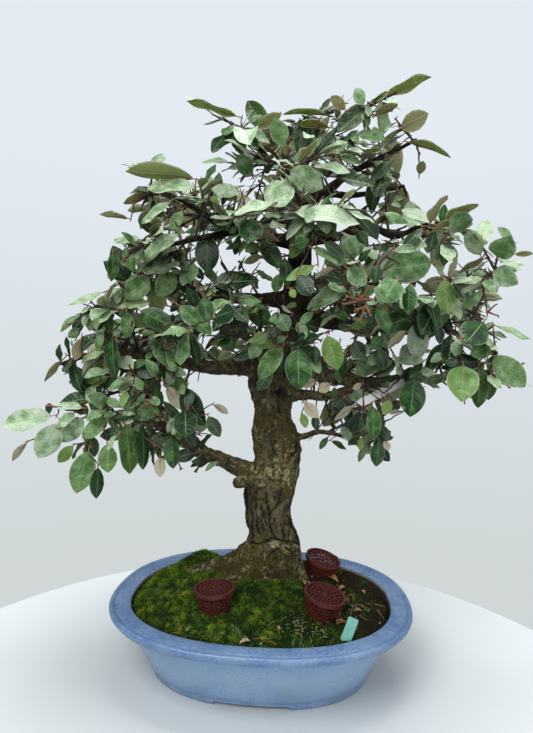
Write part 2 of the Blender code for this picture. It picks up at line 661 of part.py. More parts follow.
def square_to(direction, axis):
    """Returns the unit direction square to the axis that is nearest to the given one."""
    return (direction - axis * direction.dot(axis)).normalized()


def strip_shape(start, along, across, outline, half_thickness):
    """Returns a flat strip whose outline is given as (across, along) from its start."""
    through = along.cross(across)
    middle = [start + across * a + along * b for a, b in outline]
    return loft([[point + through * side for point in middle] for side in (half_thickness, -half_thickness)])


def label_shape(grow=0.0):
    """Returns the plant label: a thin strip with a pointed foot, leaning in the soil."""
    along = Vector(LABEL_LEAN).normalized()
    across = square_to(Vector(LABEL_ACROSS), along)
    half = LABEL_WIDTH / 2 + grow
    shoulder = LABEL_POINT - LABEL_BURIED - grow
    outline = (
        (0.0, -LABEL_BURIED - 3 * grow),
        (half, shoulder),
        (half, LABEL_SHOWN),
        (-half, LABEL_SHOWN),
        (-half, shoulder),
    )
    return strip_shape(Vector(LABEL_FOOT), along, across, outline, LABEL_THICKNESS / 2 + grow)


def tag_shapes():
    """Returns the paper tag's strip and the loop that ties it round the limb."""
    top, point = Vector(TAG_TOP), Vector(TAG_POINT)
    along = (point - top).normalized()
    across = along.cross(square_to(Vector((0.0, -1.0, 0.0)), along))
    half = TAG_WIDTH / 2
    length = (point - top).length
    outline = (
        (0.0, -TAG_NECK),
        (half, TAG_NECK),
        (half, length - TAG_TAPER),
        (0.0, length),
        (-half, length - TAG_TAPER),
        (-half, TAG_NECK),
    )
    strip = strip_shape(top, along, across, outline, TAG_THICKNESS / 2)
    axis = Vector(TAG_TIE_AXIS).normalized()
    side = axis.orthogonal().normalized()
    other = axis.cross(side)
    points, faces = [], []
    for step in range(TAG_TIE_STEPS):
        angle = math.tau * step / TAG_TIE_STEPS
        outward = side * math.cos(angle) + other * math.sin(angle)
        middle = Vector(TAG_TIE) + outward * TAG_TIE_RADIUS
        points += [middle + outward * TAG_TIE_WIRE, middle + axis * TAG_TIE_WIRE]
        points += [middle - outward * TAG_TIE_WIRE, middle - axis * TAG_TIE_WIRE]
        for corner in range(4):
            here, there = 4 * step, 4 * ((step + 1) % TAG_TIE_STEPS)
            after = (corner + 1) % 4
            faces.append([here + corner, there + corner, there + after, here + after])
    return strip, (points, faces)


def build_label_and_tag(root):
    """Makes the plant label and the paper tag. Both are blank."""
    add_piece("plant_label", new_mesh("plant_label", label_shape()), "label_plastic", root)
    strip, tie = tag_shapes()
    mesh = boolean(new_mesh("paper_tag", strip), [tie], "UNION", "EXACT")
    keep_largest_shell(mesh)
    add_piece("paper_tag", mesh, "tag_paper", root)


def tree_of(shape):
    """Returns a search tree of the shape's faces."""
    points, faces = shape
    return BVHTree.FromPolygons([tuple(point) for point in points], faces)


def shape_of(ob):
    """Returns an object's mesh as a shape in millimetres."""
    points = [vertex.co / MM for vertex in ob.data.vertices]
    return points, [list(face.vertices) for face in ob.data.polygons]


def stem_shape(stem, radii, grow=0.0):
    """Returns a stem as a three-sided tapering tube from its start to its tip."""
    return tube([(*end, radius) for end, radius in zip(stem, radii)], STEM_SIDES, grow)


def is_clear(shape, trees):
    """Returns whether the shape crosses none of the search trees."""
    guard = tree_of(shape)
    return not any(guard.overlap(tree) for tree in trees)


def first_stem(wood, base, tip):
    """Returns the stem that starts just clear of the first bark met from tip to base."""
    toward = (base - tip).normalized()
    hit = wood.ray_cast(tip, toward, (base - tip).length + 3.0)[0]
    if hit is None:
        hit = wood.find_nearest(base)[0]
    for attempt in range(STEM_TRIES):
        start = hit + (tip - hit).normalized() * STEM_STEP * (attempt + 1)
        stem = (start, tip)
        if is_clear(stem_shape(stem, STEM_RADIUS, GAP - 0.1), [wood]):
            break
    return stem


def side_stem(wood, name, first, tip):
    """Returns a stem from a fork on the first one to near the tip, clear of the wood."""
    for attempt in range(STEM_TRIES):
        chance = random.Random(f"{name} fork {attempt}")
        stray = Vector([chance.uniform(-1.0, 1.0) for _ in range(3)])
        fork = first[0].lerp(first[1], FORK_SHARE + FORK_REACH * attempt / STEM_TRIES)
        stem = (fork, tip + stray * attempt)
        if is_clear(stem_shape(stem, SIDE_STEM_RADIUS, GAP), [wood]):
            break
    return stem


def grow_stems(wood):
    """Returns {shoot: [(stem, radii)]}, each stem clear of the wood."""
    stems = {}
    for name, (base, tips) in SHOOTS.items():
        first = first_stem(wood, Vector(base), Vector(tips[0]))
        stems[name] = [(first, STEM_RADIUS)]
        for number, tip in enumerate(tips[1:]):
            stem = side_stem(wood, f"{name} {number}", first, Vector(tip))
            stems[name].append((stem, SIDE_STEM_RADIUS))
    return stems


def leaf_frame(stem, share, turn, chance):
    """Returns the base, direction and face normal of a leaf on a stem.

    Args are the stem, the leaf's share of it, its turn round it and the random source.
    """
    base = stem[0].lerp(stem[1], share)
    along = (stem[1] - stem[0]).normalized()
    side = along.orthogonal().normalized()
    radial = side * math.cos(turn) + along.cross(side) * math.sin(turn)
    outward = Vector((base.x - CROWN_AXIS[0], base.y - CROWN_AXIS[1], 0.0)).normalized()
    lean = chance.uniform(0.25, 0.9) if share < 0.99 else 2.0
    droop = chance.uniform(*(HIGH_DROOP if base.z > HIGH_SHOOTS else LOW_DROOP))
    direction = (along * lean + radial * 0.85 + outward * 0.35 - UP * droop).normalized()
    stray = Vector([chance.uniform(-1.0, 1.0) for _ in range(3)])
    lit = Vector((0.0, -1.0 if base.y < BACK_HALF else 1.0, 0.0))
    flatness = HIGH_FLATNESS if base.z > HIGH_SHOOTS else LOW_FLATNESS
    face = UP * flatness + lit * 0.75 + outward * 0.25 + stray * 0.5
    face = (face - direction * face.dot(direction)).normalized()
    return base, direction, face


def leaf_shape(base, direction, face, length, grow=0.0):
    """Returns a pointed leaf, flat above and keeled below, bent down along its length."""
    across = direction.cross(face)
    half_width = length * LEAF_WIDTH_SHARE / 2
    points = [base - direction * (LEAF_ROOT + grow)]
    for share, width, keel in LEAF_STATIONS:
        middle = base + direction * (length * share) - face * (length * LEAF_DROOP_CURVE * share * share)
        reach = half_width * width + grow
        points += [middle - across * reach + face * grow, middle + across * reach + face * grow]
        points.append(middle - face * (keel + grow))
    points.append(base + direction * (length + 2 * grow) - face * (length * LEAF_DROOP_CURVE))
    faces = [[2, 1, 0], [3, 2, 0], [1, 3, 0]]
    for left, right in ((1, 2), (2, 3), (3, 1)):
        faces += [[left, right, left + 3], [right, right + 3, left + 3]]
    faces += [[4, 5, 7], [5, 6, 7], [6, 4, 7]]
    return points, faces


def leaf_count(stem):
    """Returns how many leaves a stem bears."""
    return max(2, round(1.0 + (stem[1] - stem[0]).length / LEAF_SPACING))


def grow_leaf(name, stem, share, turn, trees):
    """Returns a leaf shape that crosses none of the trees, or None if every try does."""
    for attempt in range(LEAF_TRIES):
        chance = random.Random(f"{name} {attempt}")
        shortest, longest = LEAF_LENGTHS
        length = shortest + (longest - shortest) * chance.random() ** 1.6
        frame = leaf_frame(stem, share, turn + chance.uniform(-0.6, 0.6), chance)
        if is_clear(leaf_shape(*frame, length, LEAF_CLEARANCE), trees):
            return leaf_shape(*frame, length)
    return None


def grow_leaves(stems, fixed):
    """Returns {shoot: [leaf shapes]}, with each leaf turned until it is clear of the rest.

    fixed lists the search trees of the wood and the tag.
    """
    stem_trees = {name: [tree_of(stem_shape(*part)) for part in parts] for name, parts in stems.items()}
    grown = []
    leaves = {name: [] for name in stems}
    for name, parts in stems.items():
        others = [tree for other, trees in stem_trees.items() if other != name for tree in trees]
        for number, (stem, _) in enumerate(parts):
            count = leaf_count(stem)
            for index in range(count):
                share = FIRST_LEAF_SHARE + (1.0 - FIRST_LEAF_SHARE) * index / (count - 1)
                turn = GOLDEN_ANGLE * index + number
                leaf = grow_leaf(f"{name} {number} {index}", stem, share, turn, (*fixed, *others, *grown))
                if leaf:
                    leaves[name].append(leaf)
                    grown.append(tree_of(leaf))
    return leaves


def build_shoots(wood, tag, root):
    """Makes every leafy shoot: its stems and leaves fused into one body."""
    fixed = [tree_of(shape_of(wood)), tree_of(shape_of(tag))]
    stems = grow_stems(fixed[0])
    leaves = grow_leaves(stems, fixed)
    for name, parts in stems.items():
        tubes = [stem_shape(*part) for part in parts]
        mesh = boolean(new_mesh(name, tubes[0]), [*tubes[1:], *leaves[name]], "UNION", "MANIFOLD")
        keep_largest_shell(mesh)
        add_piece(f"shoot_{name}", mesh, "leaf", root)


def main():
    """Builds the whole bonsai under one empty."""
    clear_scene()
    root = bpy.data.objects.new("bonsai", None)
    bpy.context.scene.collection.objects.link(root)
    root.location = (POT_PLACE[0] * MM, POT_PLACE[1] * MM, 0.0)
    build_pot(root)
    build_soil(root)
    wood = build_wood(root)
    for name in BASKETS:
        build_basket(name, root)
    build_label_and_tag(root)
    build_shoots(wood, bpy.data.objects["paper_tag"], root)


main()
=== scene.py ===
"""Looks of an informal upright bonsai with broad leaves, planted in an oval blue pot.

Sizes are in millimetres in the pot's own frame: X along its long side, Y from the front
of the tree to its back, Z up from the table. A Piece turns them into metres and sets them
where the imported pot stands.
"""

import itertools
import json
import logging
import math
import random
from collections.abc import Callable, Iterable, Sequence
from dataclasses import dataclass, field
from enum import Enum

import bmesh
import bpy
import numpy as np
from mathutils import Matrix, Vector, noise
from mathutils.bvhtree import BVHTree

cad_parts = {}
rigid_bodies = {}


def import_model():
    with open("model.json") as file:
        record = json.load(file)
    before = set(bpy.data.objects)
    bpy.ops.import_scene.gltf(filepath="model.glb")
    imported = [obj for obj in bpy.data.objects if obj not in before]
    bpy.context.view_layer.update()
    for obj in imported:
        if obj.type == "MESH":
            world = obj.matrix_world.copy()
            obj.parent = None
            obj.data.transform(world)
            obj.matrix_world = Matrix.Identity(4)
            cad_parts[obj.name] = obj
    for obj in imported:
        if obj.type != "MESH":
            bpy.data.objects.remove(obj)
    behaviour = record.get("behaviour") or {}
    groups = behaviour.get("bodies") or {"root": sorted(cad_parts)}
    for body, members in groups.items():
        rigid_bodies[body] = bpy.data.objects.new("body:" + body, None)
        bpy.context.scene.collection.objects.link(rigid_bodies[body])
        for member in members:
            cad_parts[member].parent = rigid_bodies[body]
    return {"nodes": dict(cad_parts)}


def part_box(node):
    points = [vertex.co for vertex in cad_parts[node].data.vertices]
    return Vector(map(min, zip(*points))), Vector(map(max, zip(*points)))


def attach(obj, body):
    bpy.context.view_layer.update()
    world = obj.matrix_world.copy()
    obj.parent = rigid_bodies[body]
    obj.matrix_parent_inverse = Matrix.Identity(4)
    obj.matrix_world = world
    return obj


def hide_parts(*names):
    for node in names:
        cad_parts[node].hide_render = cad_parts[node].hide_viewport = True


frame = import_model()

LOG = logging.getLogger("bonsai")
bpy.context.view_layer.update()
MM = 0.001
GOLDEN_ANGLE = math.radians(137.5)
# Without a seed, the noise that bends bark and moss would start elsewhere in each run.
NOISE_SEED = 7
UP = Vector((0.0, 0.0, 1.0))
NO_TRAIT = (0.0, 0.0, 0.0)
Colour = tuple[float, float, float]
Shape = tuple[list, list[list[int]]]
Material = bpy.types.Material
Socket = bpy.types.NodeSocket
Value = float | tuple | Socket


def pot_middle() -> Vector:
    """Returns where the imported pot's middle stands, in millimetres."""
    low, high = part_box("pot")
    return Vector(((low.x + high.x) / 2, (low.y + high.y) / 2, 0.0)) / MM


POT_MIDDLE = pot_middle()


class Slot(Enum):
    """The record's material slots."""

    GLAZE = "glaze"
    SOIL = "moss_and_soil"
    BARK = "bark"
    LEAF = "leaf"
    BASKET = "basket_plastic"
    LABEL = "label_plastic"
    TAG = "tag_paper"


def linked(name: str, data: bpy.types.ID) -> bpy.types.Object:
    """Returns a new object of a mesh, lamp or camera, linked to the scene."""
    ob = bpy.data.objects.new(name, data)
    bpy.context.scene.collection.objects.link(ob)
    return ob


def new_object(name: str, shape: Shape) -> bpy.types.Object:
    """Returns a linked object, in metres, of a shape in millimetres."""
    mesh = bpy.data.meshes.new(name)
    mesh.from_pydata([tuple(Vector(point) * MM) for point in shape[0]], [], shape[1])
    return linked(name, mesh)


class Piece:
    """Gathers the points and faces of one piece, then makes its object."""

    def __init__(self, name: str, slot: Slot, *finishes: Material) -> None:
        """Starts an empty piece with the finishes that its faces may have."""
        self.name, self.slot, self.finishes = name, slot, finishes
        self.points: list[tuple] = []
        self.faces: list[list[int]] = []
        self.face_finish: list[int] = []
        self.traits: dict[str, list[tuple]] = {}

    def add(
        self, points: Iterable, faces: Iterable, finish: int | list[int] = 0, **traits: tuple | list
    ) -> None:
        """Adds one shape to the piece.

        Args:
            points: Places in millimetres.
            faces: Lists of indices into those points.
            finish: Which of the piece's finishes the faces have, one for all or one for each.
            traits: Three numbers, one triple for all the points or a list with one for each, by name.
        """
        start = len(self.points)
        self.points += [tuple(point) for point in points]
        faces = [[start + corner for corner in face] for face in faces]
        self.faces += faces
        self.face_finish += finish if isinstance(finish, list) else [finish] * len(faces)
        for key, values in traits.items():
            known = self.traits.setdefault(key, [NO_TRAIT] * start)
            known += [values] * (len(self.points) - start) if isinstance(values, tuple) else values
        for known in self.traits.values():
            known += [NO_TRAIT] * (len(self.points) - len(known))

    def make(self, *replaces: str, sharp: float | None = None) -> None:
        """Makes the object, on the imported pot's place and riding on the one body.

        Args:
            replaces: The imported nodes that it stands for.
            sharp: The angle in degrees above which an edge stays sharp.
        """
        mesh = bpy.data.meshes.new(self.name)
        places = (np.array(self.points, float) + np.array(POT_MIDDLE)) * MM
        mesh.from_pydata(places.tolist(), [], self.faces)
        for finish in self.finishes:
            mesh.materials.append(finish)
        mesh.polygons.foreach_set("material_index", np.array(self.face_finish, np.int32))
        for key, values in self.traits.items():
            trait = mesh.attributes.new(key, "FLOAT_VECTOR", "POINT")
            trait.data.foreach_set("vector", np.array(values, np.float32).ravel())
        mesh.shade_smooth()
        if sharp is not None:
            mesh.set_sharp_from_angle(angle=math.radians(sharp))
        ob = linked(self.name, mesh)
        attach(ob, "root")
        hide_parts(*replaces)
        LOG.info("%s: %d faces", self.name, len(self.faces))


def packed_shape(node: str) -> Shape:
    """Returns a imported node's points, in the pot's frame, and its faces."""
    mesh = frame["nodes"][node].data
    points = [vertex.co / MM - POT_MIDDLE for vertex in mesh.vertices]
    return points, [list(face.vertices) for face in mesh.polygons]


def tree_of(shape: Shape) -> BVHTree:
    """Returns a search tree of the shape's faces."""
    return BVHTree.FromPolygons([tuple(point) for point in shape[0]], shape[1])


def loft(loops: Sequence[Sequence], closed: bool = False) -> Shape:
    """Returns the shape through loops of equal length.

    Args:
        loops: Closed loops of points, each the same length.
        closed: Whether the last loop joins the first, instead of a face over each end.

    Returns:
        Its points and faces.
    """
    count = len(loops[0])
    points = [point for loop in loops for point in loop]
    faces = []
    for start in range(0, len(points) if closed else len(points) - count, count):
        ahead = (start + count) % len(points)
        for side in range(count):
            after = (side + 1) % count
            faces.append([start + side, start + after, ahead + after, ahead + side])
    if not closed:
        faces += [list(range(count))[::-1], list(range(len(points) - count, len(points)))]
    return points, faces


def prism(outline: Sequence[tuple[float, float]], low: float, high: float) -> Shape:
    """Returns an upright solid over a flat outline, between two heights."""
    return loft([[Vector((x, y, height)) for x, y in outline] for height in (low, high)])


def circle(radius: float, count: int, middle: tuple[float, float] = (0.0, 0.0)) -> list[tuple[float, float]]:
    """Returns points evenly round a circle."""
    angles = [math.tau * step / count for step in range(count)]
    return [(middle[0] + radius * math.cos(a), middle[1] + radius * math.sin(a)) for a in angles]


def arch(half: float, top: float, radius: float, steps: int) -> list[tuple[float, float]]:
    """Returns an outline's top with rounded corners, from its right side over to its left."""
    turns = [math.radians(90 / steps * step) for step in range(steps + 1)]
    right = [(half - radius * (1 - math.cos(a)), top - radius * (1 - math.sin(a))) for a in turns]
    return right + [(-x, y) for x, y in right[::-1]]


def smooth_route(stations: Sequence[Sequence[float]], step: float) -> np.ndarray:
    """Returns stations joined by one smooth curve.

    Args:
        stations: Rows whose first three numbers are a place and the rest sizes.
        step: The wanted distance between the curve's rows.

    Returns:
        The curve's rows, about a step apart.
    """
    rows = np.array(stations, float)
    rows = np.vstack([2 * rows[0] - rows[1], rows, 2 * rows[-1] - rows[-2]])
    curve = []
    for before, start, end, after in zip(rows, rows[1:], rows[2:], rows[3:]):
        count = max(2, math.ceil(np.linalg.norm(end[:3] - start[:3]) / step))
        bend = 2 * before - 5 * start + 4 * end - after
        sway = 3 * start - before - 3 * end + after
        for share in np.arange(count) / count:
            curve.append(0.5 * (2 * start + (end - before) * share + bend * share**2 + sway * share**3))
    return np.array([*curve, rows[-2]])


def square_to(direction: Vector, axis: Vector) -> Vector:
    """Returns the unit direction square to the axis that is nearest to the given one."""
    return (direction - axis * direction.dot(axis)).normalized()


def turned(side: Vector, other: Vector, angle: float) -> Vector:
    """Returns a direction turned from one side towards another that is square to it."""
    return side * math.cos(angle) + other * math.sin(angle)


def sides_of(along: Vector) -> tuple[Vector, Vector]:
    """Returns two directions square to the given one and to each other."""
    side = along.orthogonal().normalized()
    return side, along.cross(side)


def tube(route: Sequence[Sequence[float]], sides: int, rough: float = 0.0, grain: float = 8.0) -> Shape:
    """Returns a tapering tube along a route, with both ends closed.

    Args:
        route: Rows of x, y, z and radius.
        sides: How many sides the tube has.
        rough: The share of the radius that its surface rises and falls.
        grain: The size of those rises.

    Returns:
        Its points and faces.
    """
    route = np.array(route)
    centres = [Vector(row[:3]) for row in route]
    side = None
    loops = []
    for number, centre in enumerate(centres):
        along = (centres[min(number + 1, len(centres) - 1)] - centres[max(number - 1, 0)]).normalized()
        side = square_to(along.orthogonal().normalized() if side is None else side, along)
        across = along.cross(side)
        loop = []
        for step in range(sides):
            outward = turned(side, across, math.tau * step / sides)
            radius = float(route[number][3])
            point = centre + outward * radius
            if rough:
                radius *= 1.0 + rough * (noise.noise(point / grain) + 0.5 * noise.noise(point * 3.1 / grain))
            loop.append(centre + outward * radius)
        loops.append(loop)
    return loft(loops)


def clamped(value: float, low: float = 0.0, high: float = 1.0) -> float:
    """Returns the value kept between two others."""
    return min(max(value, low), high)


def smoothstep(low: float, high: float, value: float) -> float:
    """Returns 0 below low, 1 above high, and a smooth rise between them."""
    share = clamped((value - low) / (high - low))
    return share * share * (3.0 - 2.0 * share)


def between(value: float, low: float, full: float, ebb: float, gone: float) -> float:
    """Returns 1 from full to ebb, and a smooth fall to 0 at low and at gone."""
    return smoothstep(low, full, value) * smoothstep(gone, ebb, value)


def lumps(place: Vector, size: float, rough: float = 0.8, octaves: int = 3) -> float:
    """Returns uneven noise about as large as the size, with finer noise on it."""
    return noise.fractal(place / size, rough, 2.0, octaves)


def stray(chance: random.Random) -> Vector:
    """Returns a chance place in a box around nothing."""
    return Vector([chance.uniform(-1.0, 1.0) for _ in range(3)])


class Graph:
    """Short ways to add shader nodes to one tree."""

    def __init__(self, tree: bpy.types.NodeTree) -> None:
        """Keeps the tree that the nodes go into."""
        self.tree = tree

    def add(self, kind: str, inputs: dict | None = None, **settings: str | bool) -> bpy.types.Node:
        """Adds one node.

        Args:
            kind: The node's type, without the word ShaderNode.
            inputs: Values or sockets for its inputs, by name or number.
            settings: Values for the node's own settings.

        Returns:
            The node.
        """
        node = self.tree.nodes.new(f"ShaderNode{kind}")
        for key, value in settings.items():
            setattr(node, key, value)
        for key, value in (inputs or {}).items():
            self.feed(node.inputs[key], value)
        return node

    def feed(self, socket: Socket, value: Value) -> None:
        """Links a socket, or sets a plain value, into an input."""
        if isinstance(value, Socket):
            self.tree.links.new(value, socket)
        elif socket.type == "RGBA":
            socket.default_value = (*value, 1.0)
        else:
            socket.default_value = value

    def place(self) -> Socket:
        """Returns the place on the object, in metres."""
        return self.add("TexCoord").outputs["Object"]

    def parts(self, vector: Socket) -> bpy.types.bpy_prop_collection:
        """Returns the X, Y and Z sockets of a vector."""
        return self.add("SeparateXYZ", {0: vector}).outputs

    def trait(self, name: str) -> bpy.types.bpy_prop_collection:
        """Returns the three numbers of a trait of the points."""
        return self.parts(self.add("Attribute", attribute_name=name).outputs["Vector"])

    def math(self, operation: str, first: Value, second: Value = 0.0) -> Socket:
        """Returns one sum of two values."""
        return self.add("Math", {0: first, 1: second}, operation=operation).outputs[0]

    def times(self, first: Value, *others: Value) -> Value:
        """Returns the product of the values."""
        for other in others:
            first = self.math("MULTIPLY", first, other)
        return first

    def noise(
        self, scale: Value, detail: float = 4.0, rough: float = 0.5, place: Socket | None = None
    ) -> Socket:
        """Returns noise from 0 to 1 of that scale."""
        inputs = {"Vector": place or self.place(), "Scale": scale, "Detail": detail, "Roughness": rough}
        return self.add("TexNoise", inputs).outputs["Fac"]

    def ramp(
        self, value: Value, low: Value, high: Value, to_low: Value = 0.0, to_high: Value = 1.0
    ) -> Socket:
        """Returns the value moved from one range to another and kept inside it."""
        inputs = {"Value": value, "From Min": low, "From Max": high, "To Min": to_low, "To Max": to_high}
        return self.add("MapRange", inputs, clamp=True).outputs["Result"]

    def mix(self, share: Value, first: Value, second: Value, blend: str = "MIX") -> Socket:
        """Returns two colours mixed by a share."""
        node = self.add("Mix", data_type="RGBA", blend_type=blend)
        for number, value in ((0, share), (6, first), (7, second)):
            self.feed(node.inputs[number], value)
        return node.outputs[2]

    def colours(self, value: Socket, stops: Sequence[tuple[float, Colour]]) -> Socket:
        """Returns a colour looked up by a value among the stops."""
        node = self.add("ValToRGB", {0: value})
        elements = node.color_ramp.elements
        for number, (position, colour) in enumerate(stops):
            element = elements[number] if number < 2 else elements.new(position)
            element.position = position
            element.color = (*colour, 1.0)
        return node.outputs["Color"]


class Coat(Graph):
    """A material in the making: its nodes, and the colour that is laid so far."""

    def __init__(self, name: str, **constants: float | tuple) -> None:
        """Starts the material, with the values that are the same all over by socket name."""
        self.material = bpy.data.materials.new(name)
        self.material.use_nodes = True
        super().__init__(self.material.node_tree)
        self.inputs = self.tree.nodes["Principled BSDF"].inputs
        self.colour: Value = NO_TRAIT
        for key, value in constants.items():
            self.inputs[key.replace("_", " ").title().replace("Ior", "IOR")].default_value = value

    def lay(self, colour: Value, *shares: Value) -> None:
        """Lays a colour over the one that is there, by the product of the shares."""
        self.colour = self.mix(self.times(*shares), self.colour, colour)

    def done(self, height: Socket | None = None, strength: float = 0.0, depth: float = 0.0) -> Material:
        """Returns the material, once it has its colour and is bumped by a height.

        Args:
            height: Where its surface rises and sinks.
            strength: How strongly that shows.
            depth: How far it rises, in metres.

        Returns:
            The material.
        """
        self.feed(self.inputs["Base Color"], self.colour)
        if height:
            bump = self.add("Bump", {"Strength": strength, "Distance": depth, "Height": height})
            self.feed(self.inputs["Normal"], bump.outputs["Normal"])
        return self.material


def effect(name: str, usual: dict[str, float], outputs: Sequence[str], fill: Callable) -> Callable:
    """Makes a shader node group for an effect that several finishes share.

    Args:
        name: The group's name.
        usual: Its inputs and their usual values.
        outputs: The names of its outputs, all plain values.
        fill: Called with the group's graph and inputs, it returns the sockets to put out.

    Returns:
        A function that places the group in a graph and returns its one output, or all of them.
    """
    tree = bpy.data.node_groups.new(name, "ShaderNodeTree")
    for key, value in usual.items():
        socket = tree.interface.new_socket(key, in_out="INPUT", socket_type="NodeSocketFloat")
        socket.default_value = value
    for key in outputs:
        tree.interface.new_socket(key, in_out="OUTPUT", socket_type="NodeSocketFloat")
    graph = Graph(tree)
    given = tree.nodes.new("NodeGroupInput").outputs
    made = fill(graph, *[given[key] for key in usual])
    end = tree.nodes.new("NodeGroupOutput")
    for socket, value in zip(end.inputs, made):
        graph.feed(socket, value)

    def place(into: Graph, *values: float) -> Socket | bpy.types.bpy_prop_collection:
        """Places the group in a graph with its own values, in the order of its inputs."""
        node = into.tree.nodes.new("ShaderNodeGroup")
        node.node_tree = tree
        for socket, value in zip(node.inputs, values):
            into.feed(socket, value)
        return node.outputs if len(outputs) > 1 else node.outputs[0]

    return place


def fill_mottle(graph: Graph, scale: Socket, level: Socket, softness: Socket) -> list[Socket]:
    """Fills the effect of soft patches: a mask, sharper or softer, at one scale."""
    low, high = (graph.math(sign, level, softness) for sign in ("SUBTRACT", "ADD"))
    return [graph.ramp(graph.noise(scale, 5.0), low, high)]


def fill_speckle(graph: Graph, scale: Socket, size: Socket, spare: Socket) -> list[Socket]:
    """Fills the effect of small round specks: 1 inside a speck, 0 elsewhere."""
    cells = graph.add("TexVoronoi", {"Vector": graph.place(), "Scale": scale, "Randomness": 1.0}).outputs
    speck = graph.ramp(cells["Distance"], size, graph.times(size, 0.6))
    chosen = graph.math("GREATER_THAN", graph.parts(cells["Color"])[0], spare)
    return [graph.times(speck, chosen)]


def fill_veins(graph: Graph, width: Socket, pairs: Socket) -> list[Socket]:
    """Fills the effect of a leaf's veins, from its blade trait (along, across, 0)."""
    along, across, _ = graph.trait("blade")
    side = graph.math("ABSOLUTE", across)
    midrib = graph.ramp(side, width, graph.times(width, 0.35))
    swept = graph.math("SUBTRACT", along, graph.times(graph.math("POWER", side, 1.25), 0.2))
    wave = graph.math("FRACT", graph.times(swept, pairs))
    near = graph.math("ABSOLUTE", graph.math("SUBTRACT", wave, 0.5))
    return [midrib, graph.ramp(near, graph.ramp(side, 0.1, 0.95, 0.075, 0.03), 0.0), near]


def fill_dust(graph: Graph, scale: Socket) -> list[Socket]:
    """Fills the effect of dust and scale that settle on what faces up."""
    facing = graph.parts(graph.add("NewGeometry").outputs["Normal"])[2]
    patches = graph.ramp(graph.noise(scale, 6.0), 0.4, 0.72)
    return [graph.times(patches, graph.ramp(facing, -0.1, 0.9))]


MOTTLE = effect("soft patches", {"Scale": 100.0, "Level": 0.5, "Softness": 0.1}, ["Mask"], fill_mottle)
SPECKLE = effect("round specks", {"Scale": 400.0, "Size": 0.3, "Spare": 0.5}, ["Mask"], fill_speckle)
VEINS = effect("leaf veins", {"Width": 0.06, "Pairs": 8.0}, ["Midrib", "Vein", "Between"], fill_veins)
DUST = effect("settled dust", {"Scale": 60.0}, ["Mask"], fill_dust)


@dataclass(frozen=True)
class Glaze:
    """A mottled blue stoneware glaze, thinner and paler in patches, with painted shade in its wall colours
    by height.
    """

    rim: Colour = (0.072, 0.152, 0.335)
    # The wall's colours by height are partly the glaze's own and partly painted shade: darker just under the
    # lip, in the crease above the foot near 10 mm, and towards the bottom.
    wall: tuple = (
        (0.0, (0.10, 0.19, 0.38)), (0.0086, (0.12, 0.22, 0.42)), (0.0103, (0.06, 0.11, 0.22)),
        (0.0122, (0.14, 0.245, 0.45)), (0.03, (0.195, 0.315, 0.50)), (0.055, (0.215, 0.34, 0.50)),
        (0.069, (0.16, 0.285, 0.50)), (0.0775, (0.11, 0.23, 0.50)),
    )
    thin: Colour = (0.30, 0.42, 0.56)
    deep: Colour = (0.07, 0.14, 0.36)
    stain: Colour = (0.15, 0.21, 0.25)
    speck: Colour = (0.05, 0.075, 0.14)
    lip_height: float = 0.0785

    def material(self) -> Material:
        """Returns the glaze as a material."""
        coat = Coat("blue glaze")
        height = coat.parts(coat.place())[2]
        at_lip = coat.ramp(height, self.lip_height, self.lip_height + 0.003)
        # Painted shade by height, from the wall's colours.
        coat.colour = coat.colours(height, self.wall)
        coat.lay(self.rim, at_lip)
        coat.lay(self.thin, MOTTLE(coat, 38.0, 0.52, 0.16), 0.38)
        fine = MOTTLE(coat, 420.0, 0.54, 0.12)
        coat.lay(self.thin, fine, 0.35)
        coat.lay(self.deep, MOTTLE(coat, 230.0, 0.57, 0.07), coat.ramp(at_lip, 0.0, 1.0, 0.16, 0.4))
        grime = MOTTLE(coat, 22.0, 0.6, 0.12)
        coat.lay(self.stain, grime, coat.ramp(height, 0.05, 0.0, 0.12, 0.6))
        coat.lay(self.speck, SPECKLE(coat, 520.0, 0.24, 0.72), 0.6)
        rough = coat.math("ADD", coat.ramp(fine, 0.0, 1.0, 0.27, 0.42), coat.times(grime, 0.12))
        coat.feed(coat.inputs["Roughness"], rough)
        return coat.done(coat.noise(260.0, 3.0), 0.16, 0.0012)


@dataclass(frozen=True)
class BareClay:
    """Unglazed stoneware, where the glaze was wiped off."""

    light: Colour = (0.24, 0.18, 0.12)
    dark: Colour = (0.10, 0.07, 0.05)
    name: str = "bare clay"

    def material(self) -> Material:
        """Returns the bare clay as a material."""
        coat = Coat(self.name, roughness=0.85)
        coat.colour = coat.mix(MOTTLE(coat, 150.0, 0.5, 0.2), self.light, self.dark)
        return coat.done(coat.noise(1400.0), 0.4, 0.0006)


@dataclass(frozen=True)
class Ground:
    """Dark soil that moss grows over. Its cover trait says (moss, tone, height)."""

    wet: Colour = (0.004, 0.003, 0.001)
    dry: Colour = (0.020, 0.011, 0.004)
    clod: Colour = (0.026, 0.024, 0.005)
    moss_dark: Colour = (0.006, 0.014, 0.001)
    moss_light: Colour = (0.060, 0.105, 0.006)

    def material(self) -> Material:
        """Returns soil with moss on it as a material."""
        coat = Coat("mossy soil", roughness=0.95, specular_ior_level=0.15)
        moss, tone, _ = coat.trait("cover")
        crumbs = coat.noise(520.0, 6.0, 0.7)
        coat.colour = coat.mix(coat.ramp(crumbs, 0.4, 0.75), self.wet, self.dry)
        coat.lay(self.clod, MOTTLE(coat, 90.0, 0.55, 0.12), 0.5)
        fluff = coat.ramp(coat.noise(900.0, 5.0), 0.38, 0.7)
        coat.lay(coat.mix(coat.times(fluff, tone), self.moss_dark, self.moss_light), moss)
        return coat.done(crumbs, 0.9, 0.002)


